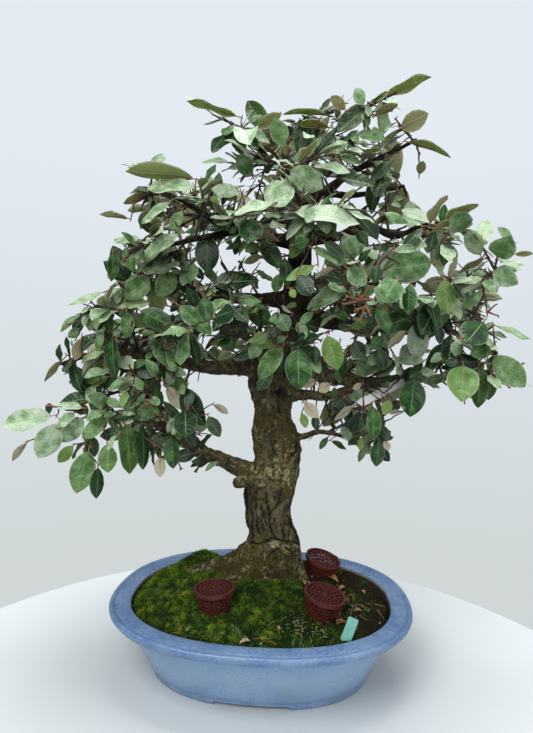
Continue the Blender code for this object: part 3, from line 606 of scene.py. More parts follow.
@dataclass(frozen=True)
class MossTuft:
    """Moss leaves with painted shade: near black at the foot, darker between the cushions. Their cover trait
    says (height, tone, dryness), where height runs from 0 at the foot to how lit the tip is.
    """

    foot: Colour = (0.004, 0.010, 0.001)
    green: Colour = (0.029, 0.150, 0.003)
    lime: Colour = (0.21, 0.36, 0.007)
    straw: Colour = (0.26, 0.20, 0.05)

    def material(self) -> Material:
        """Returns the moss as a material."""
        coat = Coat("moss", roughness=0.75, specular_ior_level=0.25)
        height, tone, dryness = coat.trait("cover")
        tip = coat.mix(dryness, coat.mix(tone, self.green, self.lime), self.straw)
        # The dark foot and the darker tips between cushions are painted shade; the lit tips on domes are
        # painted light.
        coat.colour = coat.mix(coat.ramp(height, 0.0, 0.8), self.foot, tip)
        return coat.done()


@dataclass(frozen=True)
class Grit:
    """Soil grains and small stones. Their cover trait says (tone, 0, 0)."""

    tones: tuple = (
        (0.0, (0.006, 0.004, 0.002)), (0.55, (0.026, 0.013, 0.006)), (0.86, (0.08, 0.042, 0.02)),
        (0.99, (0.36, 0.31, 0.23)),
    )
    spot: Colour = (0.01, 0.01, 0.006)

    def material(self) -> Material:
        """Returns the grains as a material."""
        coat = Coat("soil grains", roughness=0.9, specular_ior_level=0.2)
        coat.colour = coat.colours(coat.trait("cover")[0], self.tones)
        coat.lay(self.spot, MOTTLE(coat, 700.0, 0.55, 0.1), 0.4)
        return coat.done(coat.noise(1500.0), 0.6, 0.0006)


@dataclass(frozen=True)
class Bark:
    """Fissured bark with moss and lichen, and painted shade: dark in pits, cracks and the hollow, darker at
    the foot and higher up under the crown. Its bark trait says (crack, moss, lichen).
    """

    plate: Colour = (0.120, 0.098, 0.052)
    ridge: Colour = (0.25, 0.215, 0.130)
    deep: Colour = (0.055, 0.046, 0.025)
    crack: Colour = (0.007, 0.006, 0.004)
    moss: Colour = (0.034, 0.036, 0.006)
    lime: Colour = (0.34, 0.31, 0.045)
    rust: Colour = (0.20, 0.10, 0.03)
    lichen: Colour = (0.64, 0.58, 0.38)
    lichen_green: Colour = (0.34, 0.33, 0.09)
    scar: Colour = (0.42, 0.34, 0.20)
    twig: Colour = (0.026, 0.020, 0.016)

    def material(self) -> Material:
        """Returns the bark as a material."""
        coat = Coat("bark", roughness=0.92, specular_ior_level=0.22)
        crack, moss, lichen = coat.trait("bark")
        stretched = coat.add("Mapping", {"Vector": coat.place(), "Scale": (1.0, 1.0, 0.45)}).outputs[0]
        grain = coat.noise(290.0, 8.0, 0.72, stretched)
        coarse = coat.noise(90.0, 5.0, 0.5, stretched)
        pits = coat.noise(175.0, 5.0, 0.65, stretched)
        coat.colour = coat.mix(coat.ramp(grain, 0.43, 0.57), self.plate, self.ridge)
        coat.lay(self.deep, coat.ramp(coarse, 0.42, 0.62, 0.0, 0.8))
        # Near black in the pits, which also sink in the bump: partly dark bark, partly painted shade.
        coat.lay(self.crack, coat.ramp(pits, 0.46, 0.37, 0.0, 0.85))
        height = coat.parts(coat.place())[2]
        # Darker higher up on the trunk and limbs: partly old bark that is nearly black, partly painted shade
        # under the crown.
        coat.lay(self.twig, coat.ramp(height, 0.38, 0.56, 0.0, 0.85))
        fine = coat.ramp(coat.noise(950.0, 5.0), 0.4, 0.66)
        tuft = coat.ramp(coat.noise(230.0, 6.0, 0.7), 0.40, 0.57)
        green = coat.mix(coat.times(fine, tuft), self.moss, self.lime)
        cover = coat.times(coat.ramp(moss, 0.15, 0.75), coat.ramp(tuft, 0.0, 1.0, 0.25, 0.95))
        coat.lay(green, cover)
        coat.lay(self.rust, MOTTLE(coat, 200.0, 0.57, 0.03), cover)
        pale = coat.mix(fine, self.lichen, self.lichen_green)
        coat.lay(pale, coat.ramp(lichen, 0.0, 1.0), MOTTLE(coat, 215.0, 0.52, 0.03))
        broken = coat.math("ADD", lichen, coat.times(grain, 1.6))
        coat.lay(self.scar, coat.ramp(broken, 2.05, 2.3, 0.0, 0.85))
        # Painted shade at the trunk's foot.
        shade = coat.ramp(height, 0.165, 0.12, 0.16, 0.55)
        coat.colour = coat.mix(shade, coat.colour, self.deep, "MULTIPLY")
        # More painted shade higher up, under the crown.
        coat.lay(self.crack, coat.ramp(height, 0.38, 0.47, 0.0, 0.5))
        # The crack trait: cracks, seams and the hollow painted dark, partly dark bark and partly painted
        # shade.
        coat.lay(self.crack, crack)
        relief = coat.math("ADD", coat.times(grain, 0.9), coat.times(pits, 1.2))
        return coat.done(coat.math("ADD", relief, coat.times(tuft, 0.4)), 1.0, 0.0034)


@dataclass(frozen=True)
class Twig:
    """The skin of shoots: rusty where young, nearly black where old, by the look trait."""

    young: Colour = (0.19, 0.060, 0.024)
    pale: Colour = (0.32, 0.21, 0.11)
    old: Colour = (0.022, 0.016, 0.012)
    scurf: Colour = (0.16, 0.10, 0.06)

    def material(self) -> Material:
        """Returns the twig's skin as a material. The look trait says (age, tone, 0)."""
        coat = Coat("twig", roughness=0.7)
        age, tone, _ = coat.trait("look")
        coat.colour = coat.mix(tone, self.young, self.pale)
        coat.lay(self.old, age)
        coat.lay(self.scurf, SPECKLE(coat, 900.0, 0.35, 0.45), 0.35)
        return coat.done(coat.noise(1100.0), 0.5, 0.0007)


@dataclass(frozen=True)
class LeafTop:
    """The waxy upper face of a leaf, whose paleness carries painted light. The look trait says (paleness
    with painted light, tone, yellowing with painted backlight).
    """

    shades: tuple = (
        (0.0, (0.004, 0.019, 0.007)), (0.26, (0.016, 0.066, 0.014)), (0.46, (0.048, 0.145, 0.026)),
        (0.72, (0.155, 0.275, 0.115)), (1.0, (0.41, 0.52, 0.37)),
    )
    bluish: Colour = (0.012, 0.050, 0.028)
    yellow: Colour = (0.18, 0.29, 0.05)
    silver: Colour = (0.52, 0.62, 0.49)
    worn: Colour = (0.045, 0.115, 0.040)
    midrib: Colour = (0.29, 0.39, 0.19)
    margin: Colour = (0.46, 0.54, 0.37)

    def material(self) -> Material:
        """Returns the leaf's upper face as a material."""
        skin = {"subsurface_weight": 0.1, "subsurface_scale": 0.002, "subsurface_radius": (0.6, 1.0, 0.3)}
        coat = Coat("leaf top", specular_ior_level=0.3, **skin)
        pale, tone, yellow_and_backlit = coat.trait("look")
        midrib, vein, gap = VEINS(coat, 0.045, 8.0)
        cloud = coat.noise(95.0, 5.0)
        shade = coat.math("ADD", pale, coat.ramp(cloud, 0.32, 0.68, -0.24, 0.2))
        coat.colour = coat.colours(shade, self.shades)
        coat.lay(self.bluish, tone, 0.22)
        coat.lay(self.yellow, yellow_and_backlit, coat.ramp(tone, 0.3, 0.6, 1.0, 0.3))
        fine = coat.noise(620.0, 5.0, 0.7)
        coat.lay(self.silver, coat.ramp(fine, 0.50, 0.60), coat.ramp(shade, 0.3, 1.0, 0.04, 0.55))
        coat.lay(self.worn, coat.ramp(fine, 0.46, 0.38), coat.ramp(pale, 0.3, 0.9, 0.1, 0.55))
        coat.lay(self.midrib, vein, 0.26)
        coat.lay(self.midrib, midrib, 0.75)
        across = coat.math("ABSOLUTE", coat.trait("blade")[1])
        coat.lay(self.margin, coat.ramp(across, 0.9, 0.98), coat.ramp(pale, 0.1, 0.9, 0.2, 0.65))
        coat.feed(coat.inputs["Roughness"], coat.ramp(pale, 0.1, 0.9, 0.27, 0.6))
        quilted = coat.math("SUBTRACT", coat.times(gap, 0.7), coat.times(midrib, 1.0))
        return coat.done(coat.math("ADD", quilted, coat.times(cloud, 2.0)), 0.45, 0.0013)


@dataclass(frozen=True)
class LeafUnderside:
    """The felted lower face of a leaf, silvery with small brown scales; its yellowing is partly real and
    partly painted light shining through.
    """

    silver: Colour = (0.43, 0.42, 0.32)
    olive: Colour = (0.19, 0.17, 0.085)
    felt: Colour = (0.20, 0.19, 0.10)
    yellow: Colour = (0.25, 0.30, 0.11)
    scale: Colour = (0.15, 0.07, 0.03)
    rib: Colour = (0.48, 0.42, 0.26)

    def material(self) -> Material:
        """Returns the leaf's lower face as a material."""
        skin = {"subsurface_weight": 0.16, "subsurface_scale": 0.002, "subsurface_radius": (0.8, 1.0, 0.5)}
        coat = Coat("leaf underside", roughness=0.62, **skin)
        _, tone, yellow_and_backlit = coat.trait("look")
        midrib, vein, _ = VEINS(coat, 0.075, 8.0)
        coat.colour = coat.mix(tone, self.silver, self.olive)
        coat.lay(self.felt, coat.ramp(coat.noise(560.0, 5.0, 0.7), 0.4, 0.62), 0.45)
        # Yellowing, which on shown undersides is painted backlight through the leaf.
        coat.lay(self.yellow, yellow_and_backlit, 0.75)
        across = coat.math("ABSOLUTE", coat.trait("blade")[1])
        coat.lay(self.rib, coat.ramp(across, 0.88, 0.97, 0.0, 0.6))
        coat.lay(self.scale, SPECKLE(coat, 950.0, 0.3, 0.5), 0.5)
        coat.lay(self.rib, vein, 0.3)
        coat.lay(self.rib, midrib, 0.8)
        return coat.done(coat.math("ADD", coat.times(midrib, 1.0), coat.times(vein, 0.5)), 0.5, 0.0009)


@dataclass(frozen=True)
class MouldedPlastic:
    """Satin moulded plastic with dust on it."""

    name: str
    base: Colour
    worn: Colour
    dust: Colour = (0.16, 0.14, 0.09)
    roughness: float = 0.42

    def material(self) -> Material:
        """Returns the plastic as a material."""
        coat = Coat(self.name)
        coat.colour = coat.mix(MOTTLE(coat, 130.0, 0.5, 0.2), self.base, self.worn)
        dust = DUST(coat, 260.0)
        coat.lay(self.dust, dust, 0.22)
        rough = coat.ramp(dust, 0.0, 1.0, self.roughness, self.roughness + 0.3)
        coat.feed(coat.inputs["Roughness"], rough)
        return coat.done(coat.noise(900.0, 3.0), 0.25, 0.0005)


@dataclass(frozen=True)
class Litter:
    """Dead leaves, dry grass and weeds, by the look trait (tone, 0, 0)."""

    tones: tuple = (
        (0.0, (0.04, 0.11, 0.02)), (0.3, (0.15, 0.22, 0.11)), (0.6, (0.30, 0.20, 0.09)),
        (0.85, (0.30, 0.14, 0.05)), (1.0, (0.55, 0.47, 0.33)),
    )
    spot: Colour = (0.09, 0.055, 0.03)

    def material(self) -> Material:
        """Returns the litter as a material."""
        coat = Coat("litter", roughness=0.8)
        coat.colour = coat.colours(coat.trait("look")[0], self.tones)
        coat.lay(self.spot, MOTTLE(coat, 420.0, 0.55, 0.12), 0.45)
        return coat.done(coat.noise(900.0), 0.4, 0.0008)


@dataclass(frozen=True)
class View:
    """The photograph's angle: where it is taken from, and how wide it is."""

    eye: tuple = (61.1, -663.2, 402.0)
    focal: float = 23.8
    sensor: float = 36.0
    heading: float = 0.0873
    roll: float = 0.0164
    middle: tuple = (266.5, 366.5)

    def scale(self) -> float:
        """Returns how many points of the view one unit of slope takes up."""
        return 2 * self.middle[1] * self.focal / self.sensor

    def axes(self) -> tuple[Vector, Vector, Vector]:
        """Returns the ways that point right, up and into the view."""
        right = Vector((math.cos(self.heading), math.sin(self.heading), 0.0))
        forward = Vector((-right.y, right.x, 0.0))
        return (right + UP * self.roll).normalized(), (UP - right * self.roll).normalized(), forward

    def place(self, across: float, down: float, depth: float) -> Vector:
        """Returns the place that shows at a point of the view, at a depth."""
        right, up, forward = self.axes()
        scale = self.scale()
        slope = right * ((across - self.middle[0]) / scale) + up * ((self.middle[1] - down) / scale)
        return Vector(self.eye) + (forward + slope) * depth

    def shown_at(self, place: Vector) -> tuple[float, float, float]:
        """Returns where a place shows in the view, and its depth."""
        right, up, forward = self.axes()
        offset = place - Vector(self.eye)
        depth = offset.dot(forward)
        scale = self.scale() / depth
        return self.middle[0] + offset.dot(right) * scale, self.middle[1] - offset.dot(up) * scale, depth


VIEW = View()

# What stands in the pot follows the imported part, so its places are repeated from there.
POT_SQUARENESS = 2.31
RIM_HALVES = (200.0, 155.0)
SOIL_INSET = 27.5


def oval(inset: float, height: float, sides: int) -> list[Vector]:
    """Returns one loop of points round the pot's outline, inset from its outer edge."""
    loop = []
    for across, along in circle(1.0, sides):
        x, y = (math.copysign(abs(part) ** (2.0 / POT_SQUARENESS), part) for part in (across, along))
        loop.append(Vector(((RIM_HALVES[0] - inset) * x, (RIM_HALVES[1] - inset) * y, height)))
    return loop


def oval_share(x: float, y: float, inset: float = SOIL_INSET) -> float:
    """Returns how far a place lies from the pot's middle, 1 being on the inset outline."""
    across, along = (abs(part / (half - inset)) ** POT_SQUARENESS for part, half in zip((x, y), RIM_HALVES))
    return (across + along) ** (1.0 / POT_SQUARENESS)


def applied_shape(ob: bpy.types.Object) -> Shape:
    """Returns an object's shape with its modifiers applied, and removes the object."""
    bpy.context.view_layer.update()
    mesh = bpy.data.meshes.new_from_object(ob.evaluated_get(bpy.context.evaluated_depsgraph_get()))
    shape = [vertex.co / MM for vertex in mesh.vertices], [list(face.vertices) for face in mesh.polygons]
    bpy.data.objects.remove(ob, do_unlink=True)
    bpy.data.meshes.remove(mesh)
    return shape


def boolean_cut(shape: Shape, tools: Sequence[Shape]) -> Shape:
    """Returns the shape after the tools have been cut out of it."""
    target = new_object("target", shape)
    group = bpy.data.collections.new("tools")
    bpy.context.scene.collection.children.link(group)
    for tool in tools:
        group.objects.link(new_object("tool", tool))
    modifier = target.modifiers.new("Cut", "BOOLEAN")
    modifier.operation, modifier.solver = "DIFFERENCE", "EXACT"
    modifier.operand_type, modifier.collection = "COLLECTION", group
    made = applied_shape(target)
    for tool in list(group.objects):
        bpy.data.objects.remove(tool, do_unlink=True)
    bpy.data.collections.remove(group)
    return made


def remeshed(shapes: Sequence[Shape], voxel: float, rounds: int) -> tuple[np.ndarray, list[list[int]]]:
    """Returns shapes fused into one even, smoothed surface.

    Args:
        shapes: Closed shapes that overlap.
        voxel: The size of the new faces, in millimetres.
        rounds: How often the surface is smoothed.

    Returns:
        The points as an array, and the faces.
    """
    points: list = []
    faces: list = []
    for shape in shapes:
        faces += [[len(points) + corner for corner in face] for face in shape[1]]
        points += shape[0]
    ob = new_object("rough", (points, faces))
    remesh = ob.modifiers.new("Remesh", "REMESH")
    remesh.mode, remesh.voxel_size = "VOXEL", voxel * MM
    smooth = ob.modifiers.new("Smooth", "SMOOTH")
    smooth.factor, smooth.iterations = 0.5, rounds
    made, faces = applied_shape(ob)
    return np.array([tuple(point) for point in made]), faces


def normals_of(points: Sequence, faces: list[list[int]]) -> np.ndarray:
    """Returns the unit normal at each point of a shape."""
    mesh = bpy.data.meshes.new("measure")
    mesh.from_pydata([tuple(point) for point in points], [], faces)
    normals = np.zeros(len(points) * 3, np.float32)
    mesh.vertex_normals.foreach_get("vector", normals)
    bpy.data.meshes.remove(mesh)
    return normals.reshape(-1, 3)


@dataclass
class Pot:
    """The oval pot: foot, wall, stepped rim and drain holes."""

    sides: int = 224
    foot: tuple = (
        (66, 8), (64.9, 7.6), (64.6, 1.0), (63.9, 0.2), (63.0, 0), (57.6, 0), (56.7, 0.3), (56.1, 1.2),
        (55.6, 5.0), (55.2, 8.6), (54.7, 9.6), (53.2, 10.1), (52.3, 10.8), (51.7, 12.0),
    )
    wall: tuple = (
        (49.4, 16.2), (46.6, 21.8), (43.3, 28.6), (39.8, 36.0), (35.9, 43.6), (32.0, 51.2),
        (28.0, 58.8), (24.4, 66.0), (21.2, 72.8), (18.9, 78.2), (17.7, 81.0), (16.8, 82.2),
    )
    rim: tuple = (
        (14.8, 82.8), (10.0, 82.9), (6.0, 82.7), (4.4, 82.3), (3.3, 82.5), (2.7, 83.3), (2.6, 84.2),
        (2.2, 84.9), (1.2, 85.6), (0.45, 86.8), (0.05, 88.6), (0.0, 90.0), (0.3, 91.3), (1.0, 92.3),
        (2.1, 92.9), (3.3, 93.0), (4.5, 92.7), (5.5, 92.0), (6.3, 91.1), (7.0, 90.6), (7.8, 90.5),
        (8.6, 90.9), (9.8, 91.4), (12.0, 91.7), (17.0, 91.7), (22.0, 91.5), (24.4, 91.3),
        (25.6, 91.0), (26.5, 90.3), (27.0, 89.2), (27.3, 87.4),
    )
    inside: tuple = ((27.5, 80.0), (33.0, 62.0), (40.0, 46.0), (50.0, 30.0), (60.0, 17.0), (66.0, 15.0))
    notch_height: float = 5.0
    notch_widths: tuple = (92.0, 62.0)
    drains: tuple = (-62.0, 62.0)
    bare_inset: float = 26.4

    def notch(self, width: float, along_y: bool) -> Shape:
        """Returns the cutter of the arch between two feet."""
        outline = [(width / 2, -5.0), *arch(width / 2, self.notch_height, 3.5, 5), (-width / 2, -5.0)]
        reach = 1.1 * RIM_HALVES[0]
        if along_y:
            return loft([[(x, y, z) for x, z in outline] for y in (reach, -reach)])
        return loft([[(y, x, z) for x, z in outline] for y in (-reach, reach)])

    def build(self) -> None:
        """Builds the pot and dresses it in glaze, with bare clay at its foot and mouth, and a near-black
        inner wall that is soil stain and painted shade.
        """
        profile = (*self.foot, *self.wall, *self.rim, *self.inside)
        tools = [self.notch(self.notch_widths[0], True), self.notch(self.notch_widths[1], False)]
        tools += [prism(circle(10, 48, (x, 0.0)), 2.0, 22.0) for x in self.drains]
        points, faces = boolean_cut(loft([oval(inset, high, self.sides) for inset, high in profile]), tools)
        points = [self.uneven(point) for point in points]
        # The inner wall is near black: partly soil stain, partly painted shade inside the pot.
        stained_and_shaded = BareClay((0.030, 0.021, 0.013), (0.012, 0.009, 0.006), "stained clay")
        coats = [coat.material() for coat in (Glaze(), BareClay(), stained_and_shaded)]
        piece = Piece("glazed_pot", Slot.GLAZE, *coats)
        finish = []
        for face in faces:
            corners = [points[corner] for corner in face]
            middle = sum(corners, Vector()) / len(face)
            normal = sum((a.cross(b) for a, b in zip(corners, [*corners[1:], corners[0]])), Vector())
            finish.append(self.finish_at(middle, normal.normalized()))
        piece.add(points, faces, finish)
        piece.make("pot", sharp=38)

    def uneven(self, point: Vector) -> Vector:
        """Returns a point moved by the small unevenness of pressed clay."""
        if point.z < 6.0:
            return point
        swell = noise.noise(point / 46.0) * 0.35 + noise.noise(point / 15.0) * 0.12
        return point - Vector((point.x, point.y, 0.0)).normalized() * abs(swell)

    def finish_at(self, middle: Vector, normal: Vector) -> int:
        """Returns the finish of a place that faces that way: 0 glaze, 1 bare clay, 2 clay stained by soil
        and darkened as painted shade.
        """
        x, y, height = middle
        outward = Vector((x, y, 0.0)).normalized()
        if oval_share(x, y, self.bare_inset) < 1.0 and height > 88.0:
            return 1
        # Inward faces of the inner wall take the dark finish: soil stain with painted shade.
        if normal.dot(outward) < -0.2 and 14.0 < height < 89.0 and oval_share(x, y, 24.0) < 1.0:
            return 2
        return int((oval_share(x, y, 64.0) < 1.0 and height < 20.0) or height < 0.6)


@dataclass(frozen=True)
class BasketPlace:
    """Where a fertiliser basket is pressed into the soil."""

    name: str
    foot: tuple[float, float, float]
    lean: float
    heading: float
    spin: float

    def matrix(self) -> Matrix:
        """Returns the placing of the basket, from its bottom's middle."""
        toward = math.radians(self.heading)
        axis = Vector((-math.sin(toward), math.cos(toward), 0.0))
        turn = Matrix.Rotation(math.radians(self.lean), 4, axis)
        return Matrix.Translation(self.foot) @ turn @ Matrix.Rotation(math.radians(self.spin), 4, "Z")


BASKET_PLACES = (
    BasketPlace("basket_left", (-51.0, -66.0, 97.5), 2.0, 180.0, -95.0),
    BasketPlace("basket_right", (80.0, -60.0, 96.0), 12.0, -20.0, 0.0),
    BasketPlace("basket_back", (79.0, 47.0, 99.0), 17.0, -25.0, 40.0),
)
BASKET_HOLLOWS = [(place.matrix().inverted(), place.lean) for place in BASKET_PLACES]


@dataclass
class Soil:
    """The soil's surface, its crumbs and moss, and what lies on it."""

    edge: float = 85.0
    rise: float = 28.0
    hump: tuple = (-98.0, 60.0, 20.0, 34.0, 24.0)
    sides: int = 220
    rings: int = 84
    inset: float = 28.2
    body: tuple = ((66.8, 15.7), (60.8, 17.7), (40.8, 46.7), (28.4, 78.0))
    stones: tuple = ((-76.0, -104.0, 2.6), (-74.0, -100.0, 1.8), (12.0, -120.0, 1.7), (66.0, 2.0, 2.0))

    def smooth_height(self, x: float, y: float) -> float:
        """Returns the height of the packed soil at that place."""
        across, along = (x - self.hump[0]) / self.hump[3], (y - self.hump[1]) / self.hump[4]
        hump = self.hump[2] * math.exp(-(across**2 + along**2))
        return self.edge + self.rise * (1.0 - min(oval_share(x, y), 1.0) ** 1.6) + hump

    def height(self, x: float, y: float) -> float:
        """Returns the height of the lumpy surface, pressed in under the baskets."""
        place = Vector((x, y, 0.0))
        share = oval_share(x, y, self.inset)
        bumps = lumps(place, 26.0, 0.8, 4) * 2.0 + noise.noise(place / 5.0) * 0.5
        bumps += noise.noise(place / 2.1) * 0.3 + self.cushion(x, y) * 2.6
        sunk = 4.5 * smoothstep(0.955, 1.0, share)
        height = self.smooth_height(x, y) + bumps * (1.0 - smoothstep(0.93, 1.0, share)) - sunk
        for inverse, lean in BASKET_HOLLOWS:
            local = inverse @ Vector((x, y, height))
            limit = (math.hypot(local.x, local.y) - 18.9) / 6.5 * 26.0 - 0.6
            if local.z > limit:
                height -= (local.z - max(limit, -0.8)) / math.cos(math.radians(lean))
        return height

    def cushion(self, x: float, y: float) -> float:
        """Returns how high the moss swells into small domes at a place, from 0 to 1."""
        place = Vector((x, y, 0.0)) / 10.0
        place += noise.noise_vector(Vector((x, y, 9.0)) / 14.0) * 0.5
        near = noise.voronoi(place)[0][0]
        return max(1.0 - 1.6 * near * near, 0.0) * self.moss(x, y)

    def moss(self, x: float, y: float) -> float:
        """Returns how thick the moss is at a place, from 0 to 1."""
        wander = lumps(Vector((x, y, 0.0)), 38.0, 0.9)
        left = smoothstep(66.0, 24.0, x + 0.25 * y + 26.0 * wander)
        front = smoothstep(-58.0, -96.0, y + 20.0 * wander) * smoothstep(160.0, 90.0, x)
        bare_patch = 1.0 - 0.6 * math.exp(-(((x - 2) / 15) ** 2 + ((y + 50) / 12) ** 2))
        bare_patch *= 1.0 - 0.75 * math.exp(-(((x - 58) / 24) ** 2 + ((y + 92) / 13) ** 2))
        thick = left * (0.55 + 0.45 * smoothstep(120.0, 60.0, y))
        return max(thick, 0.8 * front, 0.6 * smoothstep(0.0, 0.35, wander) * 0.7) * bare_patch

    def lime(self, x: float, y: float) -> float:
        """Returns how yellow the moss is at a place, from 0 to 1."""
        wander = lumps(Vector((x + 300.0, y, 5.0)), 22.0, 0.9)
        return clamped(0.35 + 0.9 * wander + 0.25 * smoothstep(-90.0, -165.0, x))

    def build(self) -> None:
        """Builds the ground, then what grows and lies on it."""
        self.build_ground()
        self.build_moss()
        self.build_grains()

    def build_ground(self) -> None:
        """Builds the body of soil, with a fine lumpy surface."""
        loops = [oval(inset, height, self.sides) for inset, height in self.body]
        outline = oval(self.inset, 0.0, self.sides)
        for ring in range(self.rings + 1):
            share = 1.0 - ring / self.rings * 0.995
            flat = [(point.x * share, point.y * share) for point in outline]
            loops.append([Vector((x, y, self.height(x, y))) for x, y in flat])
        points, faces = loft(loops)
        piece = Piece("ground", Slot.SOIL, Ground().material())
        piece.add(points, faces, cover=[(self.moss(p.x, p.y), self.lime(p.x, p.y), 0.0) for p in points])
        piece.make("soil")

    def places_on(self, chance: random.Random, count: int) -> Iterable[tuple[float, float]]:
        """Yields chance places spread evenly over the soil."""
        for _ in range(count):
            x, y = chance.uniform(-171.0, 171.0), chance.uniform(-126.0, 126.0)
            if oval_share(x, y, self.inset) < 0.985:
                yield x, y

    def build_moss(self) -> None:
        """Builds the moss: tufts of short pointed leaves, longer and paler in patches."""
        chance = random.Random(11)
        piece = Piece("moss", Slot.SOIL, MossTuft().material())
        for x, y in self.places_on(chance, 22000):
            thick = self.moss(x, y)
            if chance.random() > thick * 1.05:
                continue
            foot = Vector((x, y, self.height(x, y) - 0.5))
            dome = self.cushion(x, y) / max(thick, 0.01)
            # Painted light: tufts on the domes of cushions are lit, the rest darker as painted shade.
            lit = min(0.16 + 0.9 * dome * dome, 1.0) * (0.55 + 0.45 * thick)
            tone = clamped(self.lime(x, y) * (0.3 + dome) + chance.gauss(0.0, 0.14))
            self.add_tuft(piece, foot, chance, (lit, tone, chance.random() ** 10), 0.75 + 0.6 * thick)
        piece.make("soil")

    def add_tuft(self, piece: Piece, foot: Vector, chance: random.Random, cover: tuple, size: float) -> None:
        """Adds one tuft of three-sided spikes, whose tips have that cover trait, to the moss."""
        for _ in range(chance.choice((2, 3, 3))):
            lean = Vector((chance.gauss(0, 0.5), chance.gauss(0, 0.5), 1.0)).normalized()
            start = foot + Vector((chance.gauss(0, 0.7), chance.gauss(0, 0.7), 0.0))
            tall = chance.uniform(2.0, 4.4) * size
            side, other = sides_of(lean)
            spin = chance.uniform(0.0, math.tau)
            angles = [spin + math.tau * step / 3 for step in range(3)]
            ring = [start + turned(side, other, angle) * 0.55 * size for angle in angles]
            spike = [[0, 1, 3], [1, 2, 3], [2, 0, 3], [2, 1, 0]]
            # The spike's foot gets 0, its darkest painted shade.
            piece.add([*ring, start + lean * tall], spike, cover=[(0.0, *cover[1:])] * 3 + [cover])

    def build_grains(self) -> None:
        """Builds the soil's grains and small stones."""
        chance = random.Random(5)
        piece = Piece("grains", Slot.SOIL, Grit().material())
        for x, y in self.places_on(chance, 3600):
            if chance.random() < self.moss(x, y) * 0.93:
                continue
            size = 0.7 + 1.5 * chance.random() ** 3
            tone = 0.96 * chance.random() ** 1.5
            self.add_grain(piece, Vector((x, y, self.height(x, y) + size * 0.2)), size, tone, chance)
        for x, y, size in self.stones:
            self.add_grain(piece, Vector((x, y, self.height(x, y) + 1.2)), size, 1.0, chance)
        piece.make("soil")

    def add_grain(
        self, piece: Piece, centre: Vector, size: float, tone: float, chance: random.Random
    ) -> None:
        """Adds one angular grain."""
        bm = bmesh.new()
        bmesh.ops.create_icosphere(bm, subdivisions=1, radius=size)
        squash = Vector((chance.uniform(0.7, 1.3), chance.uniform(0.7, 1.3), chance.uniform(0.5, 0.9)))
        points = []
        for vertex in bm.verts:
            rough = 1.0 + 0.35 * chance.uniform(-1.0, 1.0)
            points.append(centre + vertex.co * squash * rough)
        faces = [[vertex.index for vertex in face.verts] for face in bm.faces]
        piece.add(points, faces, cover=(tone, 0.0, 0.0))
        bm.free()


# The trunk: (height, centre x, centre y, half width, half depth), from the root ball up
TRUNK_STATIONS = (
    (74, -2, 20, 46, 35), (117, -1, 20, 50, 37), (134, 8, 19, 45, 35), (148, 14, 18, 40, 33),
    (166, 16, 17, 35, 32), (186, 10, 16, 33, 31), (208, 8, 16, 33, 30), (228, 9, 16, 35, 31),
    (250, 15, 16, 34, 31), (274, 19, 17, 31, 29), (292, 17, 17, 34, 30), (309, 14, 17, 33, 30),
    (326, 12, 16, 28, 27), (347, 10, 16, 27, 26), (380, 11, 16, 34, 29), (408, 18, 17, 31, 27),
    (436, 28, 17, 27, 24), (468, 38, 18, 22, 21), (500, 43, 19, 20, 19), (546, 45, 21, 17, 16),
    (588, 47, 22, 14, 13), (637, 44, 20, 10, 10), (684, 47, 16, 7, 7), (730, 53, 15, 4, 4),
    (757, 55, 15, 2.6, 2.6),
)
ROOTS = (
    ((-8, 21, 136, 24), (-40, 24, 115, 20), (-72, 28, 107, 15), (-100, 33, 100, 10), (-127, 37, 94, 6)),
    ((28, 18, 136, 20), (46, 14, 120, 15), (60, 9, 102, 9)),
    ((-12, 6, 124, 18), (-32, -8, 113, 13), (-50, -16, 102, 8)),
    ((8, 40, 126, 17), (14, 62, 112, 12), (18, 78, 99, 7)),
)
STUB = ((-8, 4, 250, 12), (-27, -12, 246, 9.5), (-36, -20, 245, 7.5))

